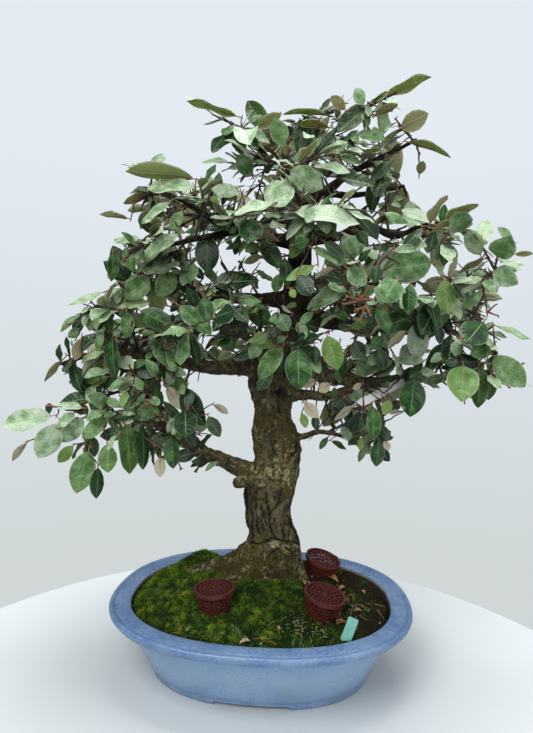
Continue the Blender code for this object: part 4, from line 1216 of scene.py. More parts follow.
# Limbs: (x, y, z, radius) along each, from inside the trunk or a larger limb outwards
LIMBS = {
    "low_left": (
        (-2, 14, 246, 15), (-32, 1, 261, 11), (-57, -15, 276, 10), (-80, -32, 288, 9), (-101, -47, 309, 8),
        (-127, -59, 325, 6.5), (-155, -72, 334, 5), (-189, -83, 336, 3.8),
    ),
    "low_left_up": ((-99, -45, 305, 5), (-122, -51, 341, 4), (-150, -59, 362, 2.8), (-179, -68, 367, 2.2)),
    "low_left_back": ((-75, -27, 286, 6), (-104, 6, 304, 4.4), (-139, 38, 309, 3.2), (-169, 66, 302, 2.4)),
    "mid_left": (
        (14, 16, 397, 17), (-27, 6, 401, 12), (-67, -6, 399, 10), (-114, -16, 406, 8), (-165, -30, 413, 6),
        (-200, -40, 418, 4.5), (-229, -48, 413, 3.4), (-257, -57, 401, 2.6),
    ),
    "mid_left_up": ((-111, -16, 405, 6), (-144, -33, 432, 4), (-177, -44, 460, 3), (-211, -53, 481, 2.2)),
    "mid_left_back": ((-81, -5, 400, 7.5), (-139, 33, 415, 5), (-200, 68, 424, 3.8), (-257, 98, 421, 2.6)),
    "upper_left": (
        (43, 19, 496, 13), (-15, 9, 496, 8), (-63, -1, 497, 7), (-95, -8, 504, 5.2), (-126, -19, 510, 4),
        (-156, -28, 505, 3), (-181, -36, 498, 2.3),
    ),
    "upper_left_front": ((-43, 2, 496, 6), (-62, -41, 477, 4.2), (-78, -77, 460, 3), (-88, -98, 450, 2.3)),
    "upper_left_back": ((-43, 4, 496, 6), (-94, 42, 510, 4.6), (-149, 79, 519, 3.4), (-199, 108, 520, 2.4)),
    "high_left": (
        (46, 21, 577, 11), (-7, 5, 581, 7), (-50, -4, 590, 6), (-82, -13, 607, 4.6), (-114, -20, 625, 3.2),
        (-145, -27, 637, 2.3),
    ),
    "high_left_low": ((-42, -4, 587, 5), (-83, -42, 568, 3.6), (-122, -66, 552, 2.8), (-159, -80, 546, 2.2)),
    "high_left_back": ((-7, 11, 583, 5.6), (-61, 45, 614, 4.2), (-118, 75, 635, 3), (-165, 98, 642, 2.3)),
    "apex_left": ((44, 19, 650, 7), (14, 6, 677, 4.6), (-17, -8, 703, 3.4), (-50, -18, 730, 2.4)),
    "apex_front": ((43, 19, 629, 8), (30, -27, 631, 5), (36, -62, 640, 3.6), (52, -86, 648, 2.4)),
    "apex_right": ((47, 16, 684, 5.6), (78, 13, 717, 3.6), (112, 10, 745, 2.8), (151, 7, 767, 2.2)),
    "apex_back": ((44, 22, 666, 6.6), (43, 59, 710, 4.2), (49, 93, 747, 3), (57, 120, 776, 2.3)),
    "right_diagonal": (
        (45, 20, 630, 9), (86, 18, 652, 6.5), (109, 16, 669, 5), (140, 12, 684, 4), (174, 7, 698, 2.9),
        (199, 3, 710, 2.2),
    ),
    "right_second": ((75, 19, 646, 5.4), (115, 32, 647, 4.2), (162, 46, 657, 3.2), (194, 57, 668, 2.4)),
    "right_top": (
        (50, 22, 584, 11), (98, 15, 584, 6.5), (136, 10, 599, 5), (172, 1, 580, 4), (204, -6, 591, 3),
        (236, -13, 594, 2.2),
    ),
    "right_top_back": ((108, 17, 588, 5.6), (151, 68, 607, 4), (200, 113, 616, 3), (244, 147, 619, 2.3)),
    "right_upper": (
        (46, 19, 479, 14), (110, 14, 461, 8.5), (156, 8, 468, 7), (201, 2, 478, 5.4), (239, -3, 494, 4),
        (269, -9, 512, 3), (297, -14, 522, 2.2),
    ),
    "right_upper_low": ((198, 3, 477, 5), (237, -17, 456, 3.6), (267, -33, 437, 2.8), (290, -43, 420, 2.2)),
    "right_upper_back": (
        (154, 11, 468, 5.8), (204, 63, 485, 4.4), (260, 113, 501, 3.2), (307, 149, 512, 2.3),
    ),
    "right_lower": (
        (21, 17, 392, 15), (56, 17, 394, 11), (104, 14, 386, 9), (147, 9, 383, 7.4), (184, 6, 388, 6.4),
        (234, -2, 391, 4.8), (271, -8, 397, 3.4), (303, -16, 402, 2.3),
    ),
    "right_lower_fork": (
        (28, 21, 361, 10), (49, 22, 364, 7.5), (84, 21, 362, 6.5), (111, 18, 370, 5.6), (134, 12, 380, 5),
    ),
    "right_low_twig": (
        (29, 21, 299, 6), (56, 27, 304, 4.4), (78, 33, 310, 3.6), (110, 40, 304, 2.8), (142, 45, 293, 2.2),
    ),
    "right_low_hang": ((147, 9, 380, 5), (153, -12, 354, 3.4), (159, -24, 329, 2.4)),
    "front_high": ((45, 19, 549, 10), (39, -27, 553, 6.5), (47, -71, 566, 4.6), (62, -107, 577, 3)),
    "front_mid": ((38, 13, 465, 10), (30, -32, 456, 6), (25, -73, 442, 4.4), (32, -103, 427, 2.8)),
    "front_left": ((21, 7, 418, 9), (0, -35, 430, 5.4), (-23, -77, 440, 4), (-39, -112, 443, 2.6)),
    "front_right": ((47, 16, 496, 9), (84, -28, 490, 5.4), (109, -69, 494, 4), (126, -104, 498, 2.6)),
    "back_low": (
        (17, 22, 404, 13), (5, 71, 418, 8.6), (-15, 117, 425, 6), (-40, 162, 426, 4), (-63, 200, 420, 2.4),
    ),
    "back_right": (
        (41, 29, 489, 12), (73, 77, 510, 7.6), (106, 128, 524, 5.2), (132, 172, 528, 3.6),
        (153, 212, 523, 2.4),
    ),
    "back_high": ((47, 29, 590, 9), (29, 69, 617, 5.8), (5, 109, 636, 4), (-18, 147, 644, 2.5)),
    "back_right_low": ((49, 24, 392, 10), (87, 70, 395, 6.4), (126, 115, 392, 4.4), (163, 157, 382, 2.6)),
}

# Shoots: where each leaves the wood, then the tip of each of its stems
SHOOTS = {
    "low_left_end": ((-189, -83, 336), ((-250, -100, 350), (-208, -98, 298), (-240, -98, 322))),
    "low_left_mid": ((-155, -72, 334), ((-164, -89, 297), (-124, -75, 301))),
    "low_left_crown": ((-179, -68, 367), ((-216, -83, 354), (-183, -100, 325))),
    "low_left_inner": ((-127, -59, 325), ((-88, -76, 334), (-135, -82, 356))),
    "low_left_rear": ((-169, 66, 302), ((-217, 85, 298), (-151, 83, 278))),
    "mid_left_end": ((-257, -57, 401), ((-256, -76, 402), (-222, -80, 414), (-212, -66, 376))),
    "mid_left_front": ((-200, -40, 418), ((-189, -83, 429), (-160, -70, 392))),
    "mid_left_inner": ((-165, -30, 413), ((-109, -72, 428), (-106, -53, 378))),
    "mid_left_top": ((-211, -53, 481), ((-219, -66, 469), (-172, -76, 470))),
    "mid_left_crown": ((-144, -33, 432), ((-130, -70, 474), (-166, -14, 456))),
    "mid_left_rear": ((-257, 98, 421), ((-288, 112, 416), (-224, 120, 456))),
    "mid_left_back": ((-139, 33, 415), ((-141, 60, 461), (-179, 55, 373))),
    "upper_left_front": ((-88, -98, 450), ((-73, -119, 442), (-48, -124, 455))),
    "upper_left_end": ((-181, -36, 498), ((-183, -60, 506), (-157, -58, 519))),
    "upper_left_mid": ((-126, -19, 510), ((-86, -54, 536), (-134, -50, 552))),
    "upper_left_inner": ((-63, -1, 497), ((-34, -49, 517), (-39, -44, 464))),
    "upper_left_rear": ((-199, 108, 520), ((-226, 124, 538), (-171, 132, 570))),
    "high_left_end": ((-145, -27, 637), ((-174, -37, 617), (-147, -47, 655))),
    "high_left_mid": ((-82, -13, 607), ((-82, -51, 634), (-71, 14, 642))),
    "high_left_low": ((-159, -80, 546), ((-166, -92, 527), (-128, -106, 549), (-116, -74, 588))),
    "high_left_inner": ((-50, -4, 590), ((-34, -57, 594), (-1, -50, 550))),
    "high_left_rear": ((-165, 98, 642), ((-205, 118, 662), (-146, 124, 681))),
    "apex_left_end": ((-50, -18, 730), ((-70, -26, 736), (-27, -48, 706))),
    "apex_left_mid": ((14, 6, 677), ((-3, -42, 670), (2, -20, 712), (-34, -28, 668))),
    "apex_top": ((55, 15, 757), ((72, -12, 741), (36, -22, 722))),
    "apex_right_end": ((151, 7, 767), ((169, 1, 771), (129, -29, 740))),
    "apex_front": ((52, -86, 648), ((43, -109, 629), (77, -90, 627), (92, -60, 668))),
    "apex_rear": ((57, 120, 776), ((69, 146, 776), (17, 132, 768))),
    "right_diagonal_end": ((199, 3, 710), ((200, -14, 684), (170, -19, 726))),
    "right_second_end": ((194, 57, 668), ((206, 74, 652), (180, 83, 700))),
    "right_diagonal_mid": ((140, 12, 684), ((153, -33, 650), (118, -28, 692))),
    "right_top_end": ((236, -13, 594), ((256, -26, 577), (200, -47, 579), (222, -52, 556))),
    "right_top_mid": ((172, 1, 580), ((174, -49, 542), (126, -39, 557))),
    "right_top_rear": ((244, 147, 619), ((284, 170, 636), (215, 163, 664))),
    "right_upper_end": ((297, -14, 522), ((300, -18, 551), (276, -34, 514), (268, -32, 570))),
    "right_upper_mid": ((239, -3, 494), ((234, -46, 514), (200, -42, 494), (188, -46, 462))),
    "right_low_end": ((290, -43, 420), ((284, -60, 424), (262, -68, 406), (276, -66, 396))),
    "right_low_mid": ((237, -17, 456), ((244, -62, 438), (226, -52, 414))),
    "right_upper_rear": ((307, 149, 512), ((340, 172, 526), (282, 167, 561))),
    "right_hang": ((159, -24, 329), ((130, -48, 352), (147, -36, 322))),
    "right_mid": ((184, 6, 388), ((196, -44, 404), (163, -38, 428), (128, -54, 446))),
    "right_low_twig": ((142, 45, 293), ((169, 66, 299), (130, 72, 318))),
    "front_high": ((62, -107, 577), ((48, -130, 576), (90, -121, 579), (66, -122, 546))),
    "front_mid": ((32, -103, 427), ((24, -126, 425), (57, -117, 428), (76, -104, 410))),
    "front_right": ((126, -104, 498), ((140, -122, 496), (100, -119, 494))),
    "back_low_end": ((-63, 200, 420), ((-103, 214, 427), (-30, 216, 459))),
    "back_right_end": ((153, 212, 523), ((185, 226, 516), (122, 224, 563))),
    "back_high": ((-18, 147, 644), ((-48, 166, 654), (7, 165, 684))),
    "back_low_right": ((163, 157, 382), ((209, 179, 376), (124, 170, 354))),
}

# Cracks, painted dark partly as shade, and pale scars of the bark, where they show in the view
CRACKS = (
    ((282, 489), (279, 498), (277, 506), (272, 511), (270, 516), (270, 522), (271, 529), (275, 537)),
    ((266, 493), (267, 503), (269, 510), (270, 516)),
    ((260, 506), (263, 512), (265, 520), (267, 525)),
    ((252, 512), (253, 520), (251, 530), (253, 540)),
    ((258, 518), (256, 526), (259, 534)),
    ((288, 516), (292, 525), (296, 533), (299, 541)),
    ((282, 526), (284, 535)),
    ((244, 488), (247, 500), (246, 515)),
    ((250, 542), (258, 544), (265, 542), (272, 538), (280, 540), (290, 542), (300, 544)),
    ((268, 558), (272, 552), (279, 549)),
    ((296, 444), (296, 452), (290, 456)),
    ((275, 441), (272, 448), (276, 455)),
    ((262, 515), (261, 522), (263, 531)),
    ((247, 520), (248, 530)),
    ((286, 548), (292, 553)),
)
SCARS = (
    (274, 544, 3.6), (285, 547, 3.0), (287, 552, 2.5), (268, 469, 3.2), (259, 477, 2.4), (262, 485, 2.4),
    (280, 454, 1.9), (277, 446, 1.6), (238, 478, 2.6), (297, 546, 1.8), (252, 466, 2.0),
)


@dataclass
class Wood:
    """The trunk with its roots, its cut stub and all its limbs."""

    voxel: float = 1.62
    smoothing: int = 10
    trunk_sides: int = 48
    collar_reach: float = 55.0
    limb_sides: int = 12
    limb_step: float = 3.2
    hollow: tuple = (25.0, -12.0, 368.0)
    bare_root: tuple = ((-70.0, 26.0, 122.0), (-116.0, 30.0, 103.0))

    def trunk_loft(self) -> Shape:
        """Returns the trunk alone, smooth between its stations, with broad ridges."""
        loops = []
        rows = [(x, y, z, wide, deep) for z, x, y, wide, deep in TRUNK_STATIONS]
        for x, y, height, wide, deep in smooth_route(rows, 5.0):
            twist = max(height, 117.0) / 45.0
            loop = []
            for step in range(self.trunk_sides):
                angle = math.tau * step / self.trunk_sides
                ridge = 1.0 + 0.06 * math.sin(5 * angle + twist) + 0.03 * math.sin(2 * angle - 2.0 * twist)
                loop.append((x + wide * ridge * math.cos(angle), y + deep * ridge * math.sin(angle), height))
            loops.append(loop)
        return loft(loops)

    def collars(self) -> list[Shape]:
        """Returns the first stretch of each limb, a little thicker, to fuse with the trunk."""
        shapes = []
        for route in LIMBS.values():
            curve = smooth_route(route, 4.0)
            gone = np.linalg.norm(curve[:, :3] - curve[0, :3], axis=1)
            reach = self.collar_reach * min(curve[0, 3] / 12.0, 1.3)
            near = curve[gone <= reach]
            near[:, 3] *= 1.0 + 0.25 * np.clip(1.0 - gone[: len(near)] / reach, 0.0, 1.0)
            near[-6:, 3] *= np.linspace(1.0, 0.9, 6)[-len(near[-6:]) :]
            shapes.append(tube(near, 16))
        return shapes

    def build(self) -> None:
        """Builds the bole and the limbs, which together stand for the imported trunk."""
        bark = Bark().material()
        self.build_bole(bark)
        self.build_limbs(bark)

    def build_bole(self, bark: Material) -> None:
        """Builds the trunk's fused surface with its cracks, lumps and hollow."""
        grown = [tube(smooth_route(route, 4.0), 24) for route in ROOTS] + [tube(smooth_route(STUB, 3.0), 24)]
        points, faces = remeshed([self.trunk_loft(), *grown, *self.collars()], self.voxel, self.smoothing)
        normals = normals_of(points, faces)
        moved, looks = [], []
        for row, facing, seam, scar in zip(points, normals, *self.seen_marks(points, normals)):
            point, normal = Vector(row), Vector(facing)
            shift, (dark, moss, lichen) = self.bark_at(point, normal)
            moved.append(point + normal * (shift - 2.2 * seam))
            # Seen cracks sink and are painted dark, partly as shade.
            looks.append((max(dark, seam), moss, max(lichen, 1.8 * scar)))
        piece = Piece("bole", Slot.BARK, bark)
        piece.add(moved, faces, bark=looks)
        piece.make("trunk")

    def seen_marks(self, points: np.ndarray, normals: np.ndarray) -> tuple[np.ndarray, np.ndarray]:
        """Returns how far each place lies in a crack and in a scar that the view shows.

        Args:
            points: The places on the bark.
            normals: The ways that they face.

        Returns:
            Two rows of values from 0 to 1, one for cracks and one for scars.
        """
        right, up, forward = (np.array(axis) for axis in VIEW.axes())
        offset = points - np.array(VIEW.eye)
        scale = VIEW.scale() / (offset @ forward)
        across = VIEW.middle[0] + (offset @ right) * scale
        down = VIEW.middle[1] - (offset @ up) * scale
        front = np.einsum("ij,ij->i", offset, normals) < 0.0
        across = across + 0.45 * np.sin(1.1 * down) + 0.3 * np.sin(2.7 * down + 0.4 * across)
        seams, scars = np.full(len(points), 9.0), np.full(len(points), 9.0)
        for line in CRACKS:
            for (x0, y0), (x1, y1) in zip(line, line[1:]):
                run = (x1 - x0) ** 2 + (y1 - y0) ** 2
                share = np.clip(((across - x0) * (x1 - x0) + (down - y0) * (y1 - y0)) / run, 0.0, 1.0)
                gap = np.hypot(x0 + share * (x1 - x0) - across, y0 + share * (y1 - y0) - down)
                seams = np.minimum(seams, gap)
        for x, y, reach in SCARS:
            scars = np.minimum(scars, np.hypot((across - x) / 1.3, down - y) / reach)
        return front * np.clip(1.5 - seams / 0.8, 0.0, 1.0), front * np.clip((1.15 - scars) / 0.4, 0.0, 1.0)

    def bark_at(self, point: Vector, normal: Vector) -> tuple[float, tuple[float, float, float]]:
        """Returns how far the bark stands out there, and its crack, moss and lichen, where crack is darkness
        that is partly painted shade in cracks and the hollow.
        """
        high = point.z
        base = smoothstep(178.0, 138.0, high)
        neck = between(high, 325.0, 345.0, 400.0, 440.0)
        warped = point + noise.noise_vector(point / 21.0) * 9.0 + noise.noise_vector(point / 6.0) * 1.6
        near, second = noise.voronoi(Vector((warped.x / 15.0, warped.y / 15.0, warped.z / 46.0)))[0][:2]
        long_mask = smoothstep(-0.15, 0.3, noise.noise(point / 26.0 + Vector((0.0, 4.0, 8.0))))
        strips = Vector((warped.x / 13.0, warped.y / 13.0, warped.z / 70.0))
        seam = noise.noise(strips + Vector((7.0, 3.0, 1.0)))
        fissured = between(high, 132.0, 160.0, 250.0, 300.0)
        fissured = max(fissured, 0.6 * between(high, 325.0, 345.0, 400.0, 430.0))
        fissure = (1.0 - smoothstep(0.0, 0.055, abs(seam))) * (0.3 + 0.7 * fissured) * long_mask
        crack = (1.0 - smoothstep(0.0, 0.11, second - near)) * long_mask
        crack *= (0.35 + 0.65 * fissured) * (1.0 - 0.4 * base)
        burr = math.exp(-(((high - 318.0) / 38.0) ** 2))
        burr_band = math.exp(-(((high - 263.0) / 19.0) ** 2))
        knobs = noise.fractal(point / 9.0 + Vector((5.0, 5.0, 5.0)), 0.8, 2.0, 3)
        shift = lumps(point, 26.0, 0.9) * (1.7 + 1.2 * burr) + knobs * (0.75 + 1.3 * burr + 0.7 * base)
        shift += lumps(point, 3.6, 0.7) * 0.5 - (crack * 1.5 + fissure * 2.4)
        hollow = math.exp(-(((point - Vector(self.hollow)).length / 6.5) ** 2))
        shift = shift * (0.35 + 0.65 * smoothstep(560.0, 380.0, high)) - 4.0 * hollow
        patch = noise.fractal(point / 19.0 + Vector((31.0, 0.0, 0.0)), 0.8, 2.0, 4)
        edge = smoothstep(20.0, 32.0, point.x - 4.0) * between(high, 190.0, 225.0, 290.0, 330.0)
        flare = smoothstep(200.0, 170.0, high) * smoothstep(2.0, -22.0, point.x)
        flare *= smoothstep(0.5, -0.3, normal.y)
        moss = 0.7 * base + 0.25 * burr + 0.45 * burr_band + 0.6 * patch + 0.3 * max(normal.z, 0.0)
        moss = clamped(moss + 0.4 * edge + 0.5 * flare + 0.10) * smoothstep(660.0, 420.0, high)
        crust = smoothstep(0.0, 0.42, noise.fractal(point / 12.0 + Vector((0.0, 9.0, 0.0)), 0.8, 2.0, 3))
        spread = 0.12 + 0.3 * burr + 0.5 * burr_band + 0.5 * edge + 0.75 * base + 0.35 * neck
        lichen = crust * min(spread, 1.0) + 0.45 * burr_band
        along = sum((Vector(end) - point).length for end in self.bare_root)
        lichen = max(lichen, smoothstep(66.0, 56.0, along) * smoothstep(-0.2, 0.3, knobs + 0.3))
        # Painted shade: the hollow near black, and the cracks and fissures dark as well as sunk.
        dark = min(crack * 0.6 + fissure * 0.9 + 1.4 * hollow, 1.0)
        return shift, (dark, moss * (1.0 - 0.6 * dark), lichen)

    def build_limbs(self, bark: Material) -> None:
        """Builds all the limbs as smooth tapering tubes with knobbly bark."""
        piece = Piece("limbs", Slot.BARK, bark)
        for name, route in LIMBS.items():
            curve = smooth_route(route, self.limb_step)
            chance = random.Random(name)
            curve[:, 3] *= 1.0 + 0.13 * np.array([noise.noise(Vector(row[:3]) / 9.0) for row in curve])
            points, faces = tube(curve, self.limb_sides, 0.13, 5.0)
            looks = []
            for point, normal in zip(points, normals_of(points, faces)):
                crack = 1.0 - smoothstep(0.03, 0.2, abs(noise.noise(point / 4.0)))
                top = smoothstep(-0.2, 0.7, normal[2])
                low = smoothstep(540.0, 300.0, point.z)
                moss = (smoothstep(0.05, 0.5, lumps(point, 17.0)) * 0.5 + 0.45 * top) * low
                looks.append((crack * 0.4, moss, chance.random() * 0.35 + 0.45 * top * low))
            piece.add(points, faces, bark=looks)
        piece.make("trunk")


# Leaves that stand out in the view: foot and tip, width across, how pale (with painted light), how yellow
# (with painted light through undersides). Those with a paleness below 0 show their underside, more olive
# towards -1.
SHOWN_LEAVES = (
    (242, 118, 187, 98, 9, -0.5, 0.8), (201, 180, 126, 167, 18, -0.3, 0.6),
    (253, 129, 281, 113, 14, -0.9, 0.2), (286, 149, 274, 119, 22, 0.7, 0), (253, 177, 238, 156, 20, 0.75, 0),
    (243, 192, 211, 188, 15, 0.95, 0), (200, 187, 146, 183, 14, 0.85, 0), (131, 219, 100, 212, 7, -0.1, 0.5),
    (172, 200, 139, 221, 9, 0.85, 0), (183, 231, 138, 258, 15, 0.85, 0), (271, 178, 284, 204, 24, 0.85, 0),
    (286, 168, 322, 188, 24, 0.8, 0), (278, 203, 233, 209, 10, 0.95, 0.1), (287, 212, 361, 214, 19, 1.0, 0),
    (207, 231, 207, 272, 24, 0.12, 0), (207, 284, 259, 279, 21, 0.04, 0), (260, 238, 281, 268, 18, 0.3, 0),
    (252, 216, 250, 238, 20, 0.42, 0), (183, 208, 171, 231, 12, 0.4, 0.2), (113, 250, 113, 281, 13, 0.35, 0),
    (152, 276, 125, 298, 22, 0.5, 0.1), (176, 270, 157, 296, 20, 0.6, 0.2),
    (318, 264, 285, 277, 12, 0.6, 0.5), (124, 245, 134, 270, 12, 0.5, 0.1),
    (150, 192, 123, 203, 10, -0.9, 0), (331, 116, 283, 108, 7, -0.6, 0.7), (333, 128, 292, 122, 10, -1.0, 0),
    (347, 111, 331, 96, 12, -1.0, 0), (364, 107, 355, 87, 13, 0.8, 0), (380, 99, 429, 72, 13, -0.3, 1.0),
    (372, 116, 398, 104, 9, -1.0, 0), (398, 130, 429, 113, 24, -0.8, 0.4),
    (404, 141, 453, 151, 9, -0.5, 0.8), (389, 140, 357, 132, 11, 0.65, 0), (394, 158, 372, 178, 13, 0.15, 0),
    (337, 157, 362, 161, 9, 0.5, 0.2), (419, 176, 423, 160, 12, -0.8, 0), (407, 198, 384, 197, 8, 0.6, 0),
    (380, 212, 409, 221, 10, 0.45, 0), (368, 243, 342, 249, 19, 0.75, 0), (437, 262, 384, 270, 32, 0.6, 0),
    (427, 234, 462, 215, 7, -0.6, 0.8), (466, 232, 455, 214, 20, 0.75, 0), (482, 258, 467, 229, 18, 0.8, 0),
    (496, 259, 508, 239, 26, 0.8, 0), (489, 270, 518, 284, 21, 0.75, 0), (514, 244, 499, 226, 9, 0.7, 0),
    (513, 254, 533, 253, 7, -0.5, 0.8), (443, 276, 449, 314, 19, 0.55, 0.5),
    (398, 277, 384, 300, 20, 0.5, 0), (410, 280, 408, 315, 16, 0.35, 0), (345, 266, 366, 285, 18, 0.7, 0),
    (309, 246, 340, 262, 9, 0.6, 0), (483, 290, 463, 307, 12, 0.5, 0.1), (487, 258, 456, 270, 8, -0.8, 0),
    (285, 343, 258, 378, 20, 0.42, 0.1), (298, 343, 299, 390, 28, 0.36, 0),
    (326, 332, 338, 370, 21, 0.4, 0.5), (247, 307, 270, 322, 20, 0.3, 0), (375, 303, 391, 332, 14, 0.4, 0),
    (415, 374, 410, 417, 26, 0.28, 0), (372, 402, 375, 441, 16, 0.4, 0), (379, 438, 376, 467, 15, 0.25, 0),
    (463, 362, 462, 400, 28, 0.5, 0.35), (478, 360, 482, 408, 19, 0.1, 0.1),
    (490, 352, 526, 388, 26, 0.66, 0.1), (485, 320, 470, 338, 22, 0.2, 0), (456, 326, 483, 342, 20, -0.1, 0),
    (492, 345, 473, 353, 15, 0.5, 0), (493, 325, 533, 335, 8, 0.75, 0), (409, 330, 385, 346, 9, -0.3, 0),
    (278, 312, 288, 330, 14, 0.3, 0), (298, 327, 313, 311, 9, 0.5, 0), (107, 291, 67, 303, 8, 0.85, 0.2),
    (176, 303, 212, 334, 20, 0.5, 0), (137, 309, 171, 326, 20, 0.25, 0), (126, 308, 128, 338, 14, 0.5, 0.1),
    (162, 334, 168, 364, 23, 0.42, 0), (113, 331, 110, 379, 15, 0.2, 0), (104, 330, 95, 351, 9, 0.6, 0),
    (79, 314, 59, 331, 8, 0.65, 0), (82, 328, 68, 337, 11, 0.6, 0), (82, 336, 73, 360, 11, -0.9, 0),
    (67, 355, 42, 380, 6, -0.7, 0), (57, 415, 1, 424, 25, 0.88, 0), (60, 420, 38, 459, 26, 0.92, 0),
    (86, 416, 60, 443, 19, 0.85, 0), (86, 408, 54, 405, 10, 1.0, 0), (112, 415, 81, 438, 18, 0.5, 0.1),
    (119, 406, 159, 412, 22, 0.45, 0.1), (122, 408, 105, 398, 10, 0.75, 0),
    (90, 446, 76, 494, 25, 0.56, 0.1), (107, 441, 108, 472, 20, 0.35, 0.2), (98, 464, 98, 499, 15, 0.14, 0),
    (125, 419, 133, 474, 24, 0.35, 0.25), (141, 420, 149, 469, 16, 0.2, 0), (171, 433, 174, 469, 17, 0.3, 0),
    (75, 444, 57, 463, 13, 0.3, 0.5), (165, 384, 182, 409, 14, -0.1, 0), (185, 408, 186, 437, 24, 0.04, 0),
    (207, 414, 220, 437, 14, 0.1, 0), (212, 404, 229, 413, 8, -0.1, 0), (203, 294, 208, 322, 17, 0.3, 0),
    (162, 380, 145, 400, 14, 0.25, 0), (28, 441, 11, 460, 8, -0.1, 0), (160, 455, 160, 477, 12, -0.05, 0),
    (241, 243, 225, 248, 6, 0.6, 0.1), (258, 243, 246, 251, 10, 0.5, 0.2), (279, 241, 254, 231, 9, -1.0, 0),
    (284, 254, 290, 287, 14, 0.2, 0), (280, 272, 275, 292, 12, 0.35, 0.1), (297, 273, 311, 295, 17, 0.12, 0),
    (292, 245, 309, 240, 12, 0.35, 0.1), (322, 240, 345, 257, 13, 0.2, 0), (335, 268, 317, 274, 7, -0.4, 0),
    (349, 292, 328, 284, 9, 0.7, 0), (359, 296, 376, 287, 11, 0.65, 0), (360, 303, 379, 301, 4, 0.75, 0.2),
    (350, 317, 334, 313, 9, 0.45, 0.1), (288, 336, 274, 342, 7, 0.4, 0), (278, 325, 266, 339, 10, 0.15, 0),
    (269, 332, 253, 343, 12, 0.2, 0.3), (314, 343, 316, 365, 12, 0.1, 0), (353, 338, 364, 360, 15, 0.12, 0),
    (345, 352, 341, 376, 10, 0.2, 0), (317, 379, 302, 387, 9, -0.25, 0), (331, 383, 318, 392, 10, -0.4, 0),
    (290, 288, 295, 297, 7, 0.5, 0.9), (355, 332, 338, 325, 7, 0.35, 0), (348, 330, 367, 319, 10, 0.35, 0.5),
    (375, 249, 391, 246, 9, 0.65, 0.1), (378, 261, 375, 283, 12, 0.1, 0), (356, 229, 367, 244, 11, 0.25, 0),
    (384, 335, 372, 349, 12, 0.3, 0), (376, 345, 386, 370, 13, 0.15, 0), (264, 255, 243, 262, 9, -0.9, 0),
    (389, 398, 385, 415, 11, 0.35, 0.8), (355, 405, 333, 419, 9, -0.1, 0), (404, 411, 388, 412, 4, -0.15, 0),
    (424, 361, 409, 378, 9, 0.25, 0), (329, 436, 319, 449, 7, 0.15, 0), (330, 440, 347, 449, 7, 0.3, 0.4),
    (360, 436, 361, 451, 7, 0.3, 0.7), (362, 414, 357, 431, 8, 0.1, 0), (315, 413, 316, 430, 9, 0.15, 0),
    (303, 401, 318, 418, 13, -0.3, 0), (302, 412, 306, 428, 9, 0.5, 0.5), (385, 440, 389, 451, 8, -0.1, 0),
    (345, 396, 335, 406, 10, 0.12, 0), (363, 383, 352, 389, 6, -0.3, 0),
)
# Young rusty shoots that stand out in the view: foot and tip
YOUNG_SHOOTS = (
    (361, 300, 346, 304), (361, 300, 349, 297), (361, 300, 355, 288), (361, 300, 368, 289),
    (361, 300, 372, 299), (366, 306, 370, 314), (366, 306, 360, 319), (366, 306, 357, 310),
    (487, 312, 494, 306), (487, 312, 496, 315),
)
# The crown's outline in the view, where nothing but shown leaves stands out further.
CROWN_OUTLINE = (
    (187, 97), (243, 112), (256, 108), (282, 112), (283, 104), (331, 108), (331, 94), (353, 95), (355, 86),
    (368, 92), (372, 100), (384, 96), (400, 84), (429, 71), (420, 84), (400, 103), (412, 116), (402, 130),
    (402, 140), (412, 146), (396, 152), (394, 166), (398, 178), (386, 186), (406, 192), (400, 206),
    (408, 218), (392, 224), (372, 219), (370, 234), (390, 240), (412, 236), (414, 222), (430, 214),
    (447, 207), (465, 208), (470, 220), (492, 218), (513, 230), (517, 246), (533, 250), (533, 259),
    (520, 262), (522, 280), (514, 290), (503, 290), (498, 308), (488, 316), (500, 322), (533, 324),
    (533, 338), (503, 338), (503, 350), (520, 358), (533, 372), (528, 392), (510, 396), (496, 386),
    (482, 410), (462, 403), (448, 386), (426, 384), (428, 402), (411, 418), (400, 404), (388, 416),
    (391, 442), (386, 462), (374, 469), (362, 450), (334, 449), (318, 448), (318, 440), (300, 440),
    (290, 470), (245, 480), (238, 464), (212, 452), (192, 442), (205, 442), (222, 438), (230, 404),
    (202, 398), (186, 390), (190, 374), (216, 392), (234, 392), (248, 390), (252, 460), (240, 478),
    (183, 471), (170, 477), (160, 479), (151, 470), (133, 476), (112, 474), (98, 501), (88, 488), (76, 496),
    (68, 472), (56, 469), (50, 454), (40, 461), (25, 445), (12, 462), (20, 436), (0, 428), (0, 408),
    (35, 399), (68, 399), (66, 385), (74, 372), (58, 376), (42, 382), (56, 352), (68, 337), (57, 330),
    (78, 312), (86, 297), (66, 303), (90, 288), (110, 287), (103, 258), (105, 238), (126, 232), (132, 224),
    (99, 212), (122, 206), (122, 195), (148, 188), (124, 180), (126, 163), (150, 156), (182, 160),
    (202, 170), (214, 160), (182, 153), (208, 148), (179, 138), (206, 138), (206, 127), (226, 128),
    (238, 120),
)
CROWN_TOP = 800.0


def in_crown(place: Vector, margin: float = 0.0) -> bool:
    """Returns whether a place shows inside the crown's outline, or within a margin of it."""
    if place.z > CROWN_TOP:
        return False
    across, down, _ = VIEW.shown_at(place)
    inside, nearest = False, 1e9
    for (x0, y0), (x1, y1) in zip(CROWN_OUTLINE, CROWN_OUTLINE[1:] + CROWN_OUTLINE[:1]):
        if (y0 > down) != (y1 > down) and across < (x1 - x0) * (down - y0) / (y1 - y0) + x0:
            inside = not inside
        if margin:
            share = ((across - x0) * (x1 - x0) + (down - y0) * (y1 - y0)) / ((x1 - x0) ** 2 + (y1 - y0) ** 2)
            share = clamped(share)
            gap = math.hypot(x0 + share * (x1 - x0) - across, y0 + share * (y1 - y0) - down)
            nearest = min(nearest, gap)
    return inside or nearest < margin


